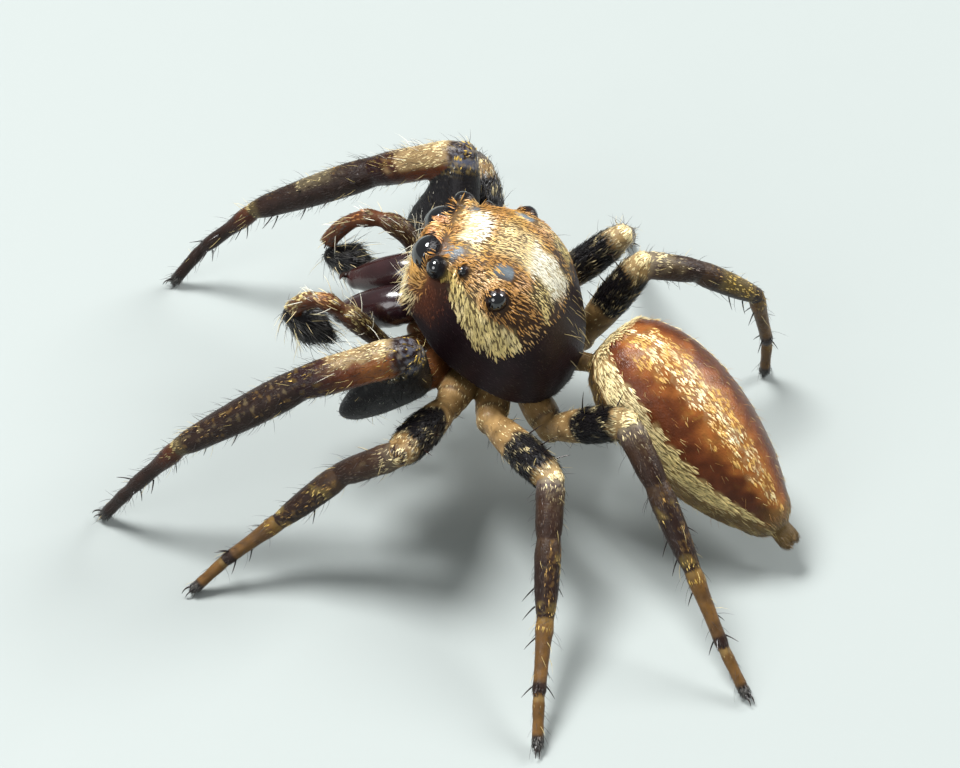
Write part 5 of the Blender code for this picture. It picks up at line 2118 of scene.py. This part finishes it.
class Spider:
    """Builds and dresses the whole animal."""

    def __init__(self) -> None:
        """Lay out the parts from the frame."""
        self.stance = Stance()
        plan = LegPlan()
        self.limbs = [plan.limb(self.stance, side, number) for side in SIDES for number in range(1, 5)]
        self.shield = HeadShield()
        self.abdomen = Abdomen()
        self.abdomen.settle(self.stance)
        self.feelers = Feelers()
        self.feelers.settle(self.stance)
        self.painter = Painter(self.stance, self.abdomen, self.feelers, self.limbs, self.shield)
        self.tools = ShaderTools()

    def build(self) -> None:
        """Make every piece."""
        self.build_skin()
        hard = HardFinish("jaw_gloss", (0.016, 0.005, 0.007), (0.030, 0.009, 0.008), roughness=0.22)
        horn = HardFinish("black_horn", (0.010, 0.008, 0.008), (0.030, 0.012, 0.008), roughness=0.20)
        Eyes().build(self.stance, self.shield, LensFinish().build())
        Jaws().build(self.stance, hard.build(self.tools), horn.build(self.tools))
        LegHardware().build(self.limbs, horn.build(self.tools))
        self.build_coat()

    def build_skin(self) -> None:
        """Cast the skin and paint its markings."""
        mould = Mould()
        self.shield.cast(mould, self.stance)
        Underside().cast(mould, self.stance, self.limbs, self.feelers)
        self.abdomen.cast(mould)
        forms = LegForms()
        for limb in self.limbs:
            forms.cast(mould, limb)
        self.feelers.cast(mould)
        self.skin = Skin()
        self.skin.cast(mould)
        skin = self.skin
        self.marks = Markings(len(skin.points))
        self.painter.paint_all(self.marks, skin)
        self.lay = Chart(self.painter).places(skin.points, skin.region, skin.limb)
        lay = np.hstack((self.lay, np.zeros((len(self.lay), 1))))
        piece = make_piece("skin", skin.points, skin.faces, SkinFinish().build(self.tools),
                           numbers={"gloss": self.marks.gloss}, colours={"tint": self.marks.tint()},
                           vectors={"lay": lay})
        flesh = [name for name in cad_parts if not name.startswith(("eye_", "jaw_"))]
        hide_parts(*flesh)

    def build_coat(self) -> None:
        """Grow the scales region by region, then the standing hairs."""
        coat = Coat(self.skin, self.marks, self.lay)
        region, limb = self.skin.region, self.skin.limb
        scales = CoatFinish("lying_scales", roughness=0.36, metallic=0.10, root_shade=0.45).build()
        hairs = CoatFinish("standing_hairs", roughness=0.45, root_shade=0.8, tip_highlight=1.15).build()
        for side, sign in zip(SIDES, (1, -1)):
            half = (region == Region.SHIELD) & (sign * self.skin.points[:, 0] >= 0)
            coat.grow(f"scales_shield_{side}", coat.cover(half, 3.4), Cut.LEAF, scales)
        under = np.isin(region, (Region.UNDER, Region.WAIST, Region.COXA))
        coat.grow("hairs_under", coat.cover(under), Cut.HAIR, scales, spread=14)
        coat.grow("scales_abdomen", coat.cover(region == Region.ABDOMEN), Cut.LEAF, scales)
        coat.grow("hairs_spinnerets", coat.cover(region == Region.SPINNERET), Cut.HAIR, hairs)
        for k, side in enumerate(SIDES):
            for number in range(1, 5):
                leg = (limb == k * 4 + number - 1) & (region >= Region.FEMUR)
                coat.grow(f"scales_leg_{side}_{number}", coat.cover(leg), Cut.LEAF, scales)
            arm = limb == self.feelers.first_limb + k
            coat.grow(f"scales_feeler_{side}", coat.cover(arm), Cut.LEAF, scales, spread=10)
        self.grow_long_hairs(coat, hairs)

    def grow_long_hairs(self, coat: Coat, hairs: bpy.types.Material) -> None:
        """Setae of the legs, bristles of the feelers, brush of the lip and the fringe behind the head.

        Args:
            coat: The coat on the skin.
            hairs: Finish of the hairs.
        """
        region, limb, rng = self.skin.region, self.skin.limb, coat.rng
        q = self.stance.unbody(self.skin.points)
        x, y, z = np.abs(q[:, 0]), q[:, 1], q[:, 2]
        shield = region == Region.SHIELD

        def tuft(name: str, where: np.ndarray, density: float, colour: Colour, other: Colour,
                 mix: float, width: float, length: tuple[float, float], lift: tuple[float, float],
                 spread: float) -> None:
            """Grow one piece of standing hairs.

            Args:
                name: Name of the piece.
                where: The skin points it grows on.
                density: Hairs in a square millimetre.
                colour: Colour of most hairs.
                other: Colour of the rest.
                mix: Share of the rest.
                width: Full width of a hair.
                length: Shortest and longest hair.
                lift: Least and greatest lean away from the skin, in degrees.
                spread: Degrees by which hairs stray to the side.
            """
            roots = coat.scatter(where.astype(float), density)
            pick = rng.random((len(roots), 1)) < mix
            coat.grow(name, roots, Cut.BRISTLE, hairs, width=width,
                      length=rng.uniform(*length, len(roots)), lift=rng.uniform(*lift, len(roots)),
                      spread=spread, droop=0.3, flat=0.7,
                      tint=np.where(pick, np.array(other), np.array(colour)))

        legs = region >= Region.FEMUR
        thick = 1.0 + 0.8 * np.isin(limb, (0, 4)) - 1.4 * (np.isin(limb, (0, 4)) & (region == Region.FEMUR))
        tuft("setae_legs", legs * thick, 60, INK.dark_brown, INK.straw, 0.16,
             0.0052, (0.10, 0.24), (24, 56), 22)
        front = np.isin(limb, (0, 4))
        tuft("fuzz_femora", front & (region == Region.FEMUR), 110, INK.black, INK.grey, 0.25,
             0.0050, (0.05, 0.11), (30, 65), 25)
        knee = front & (region == Region.PATELLA) & (self.skin.normals[:, 2] > 0.5)
        share = self.leg_share(1)
        tuft("hairs_knees", knee & (share > 0.15) & (share < 0.75), 26, INK.white, INK.cream, 0.4,
             0.0065, (0.20, 0.38), (40, 70), 14)
        back = (region == Region.ABDOMEN) & (self.front_share() < 0.96)
        tuft("fuzz_abdomen", back, 44, INK.bronze, INK.straw, 0.4, 0.0042, (0.07, 0.16),
             (25, 60), 20)
        tuft("setae_crown", shield & (z > 0.9), 6, INK.black, INK.dark_brown, 0.5, 0.008,
             (0.16, 0.30),
             (45, 75), 25)
        place = np.stack([x, y, z], axis=1)
        clear = np.all([gap_to(place, centre) > radius * 1.22
                        for centre, radius in self.shield.eyes.values()], axis=0)
        brow = shield & (y < -1.0) & (z > 0.88) & clear
        tuft("brow", brow, 900, INK.rust, INK.gold, 0.45, 0.008, (0.07, 0.14), (14, 44), 16)
        brush = shield & (y < -1.02) & (z < 0.60) & (z > 0.05) & (x < 0.52)
        tuft("brush_lip", brush, 300, INK.cream, INK.white, 0.6, 0.007, (0.20, 0.46), (16, 46), 14)
        fringe = (shield & (y > 0.55) & (z > 0.25) & (x < 0.40)) | (
            (region == Region.ABDOMEN) & (self.front_share() < 0.02))
        tuft("fringe_waist", fringe, 30, INK.cream, INK.straw, 0.5, 0.006, (0.16, 0.30),
             (20, 50), 20)
        arms = region == Region.FEELER
        tuft("bristles_feelers", arms, 42, INK.white, INK.cream, 0.4, 0.009, (0.12, 0.26),
             (35, 65), 20)
        tuft("hair_bulbs", region == Region.BULB, 240, INK.grey, INK.cream, 0.26, 0.007,
             (0.14, 0.34),
             (25, 60), 20)
        feet = (region == Region.TARSUS) & (self.leg_share(4) > 0.86)
        tuft("tufts_feet", feet, 1500, INK.black, INK.grey, 0.5, 0.007, (0.05, 0.09), (15, 50), 25)

    def front_share(self) -> np.ndarray:
        """Share along the abdomen for every skin point."""
        return self.abdomen.coordinates(self.skin.points)[0]

    def leg_share(self, segment: int) -> np.ndarray:
        """Share along one segment, femur 0 to tarsus 4, for the skin points of the legs.

        Args:
            segment: Number of the segment.

        Returns:
            One share for each skin point.
        """
        made = np.zeros(len(self.skin.points))
        for leg in self.limbs:
            mine = self.skin.limb == leg.index
            start, end = leg.joints[segment + 1], leg.joints[segment + 2]
            along = (self.skin.points[mine] - start) @ leg.runs[segment + 1]
            made[mine] = along / np.linalg.norm(end - start)
        return made


def main() -> None:
    """Build the scene."""
    logging.basicConfig(level=logging.INFO, format="%(name)s %(message)s")
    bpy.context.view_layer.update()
    spider = Spider()
    Studio().build(spider.stance)
    spider.build()


if __name__ == "__main__":
    main()
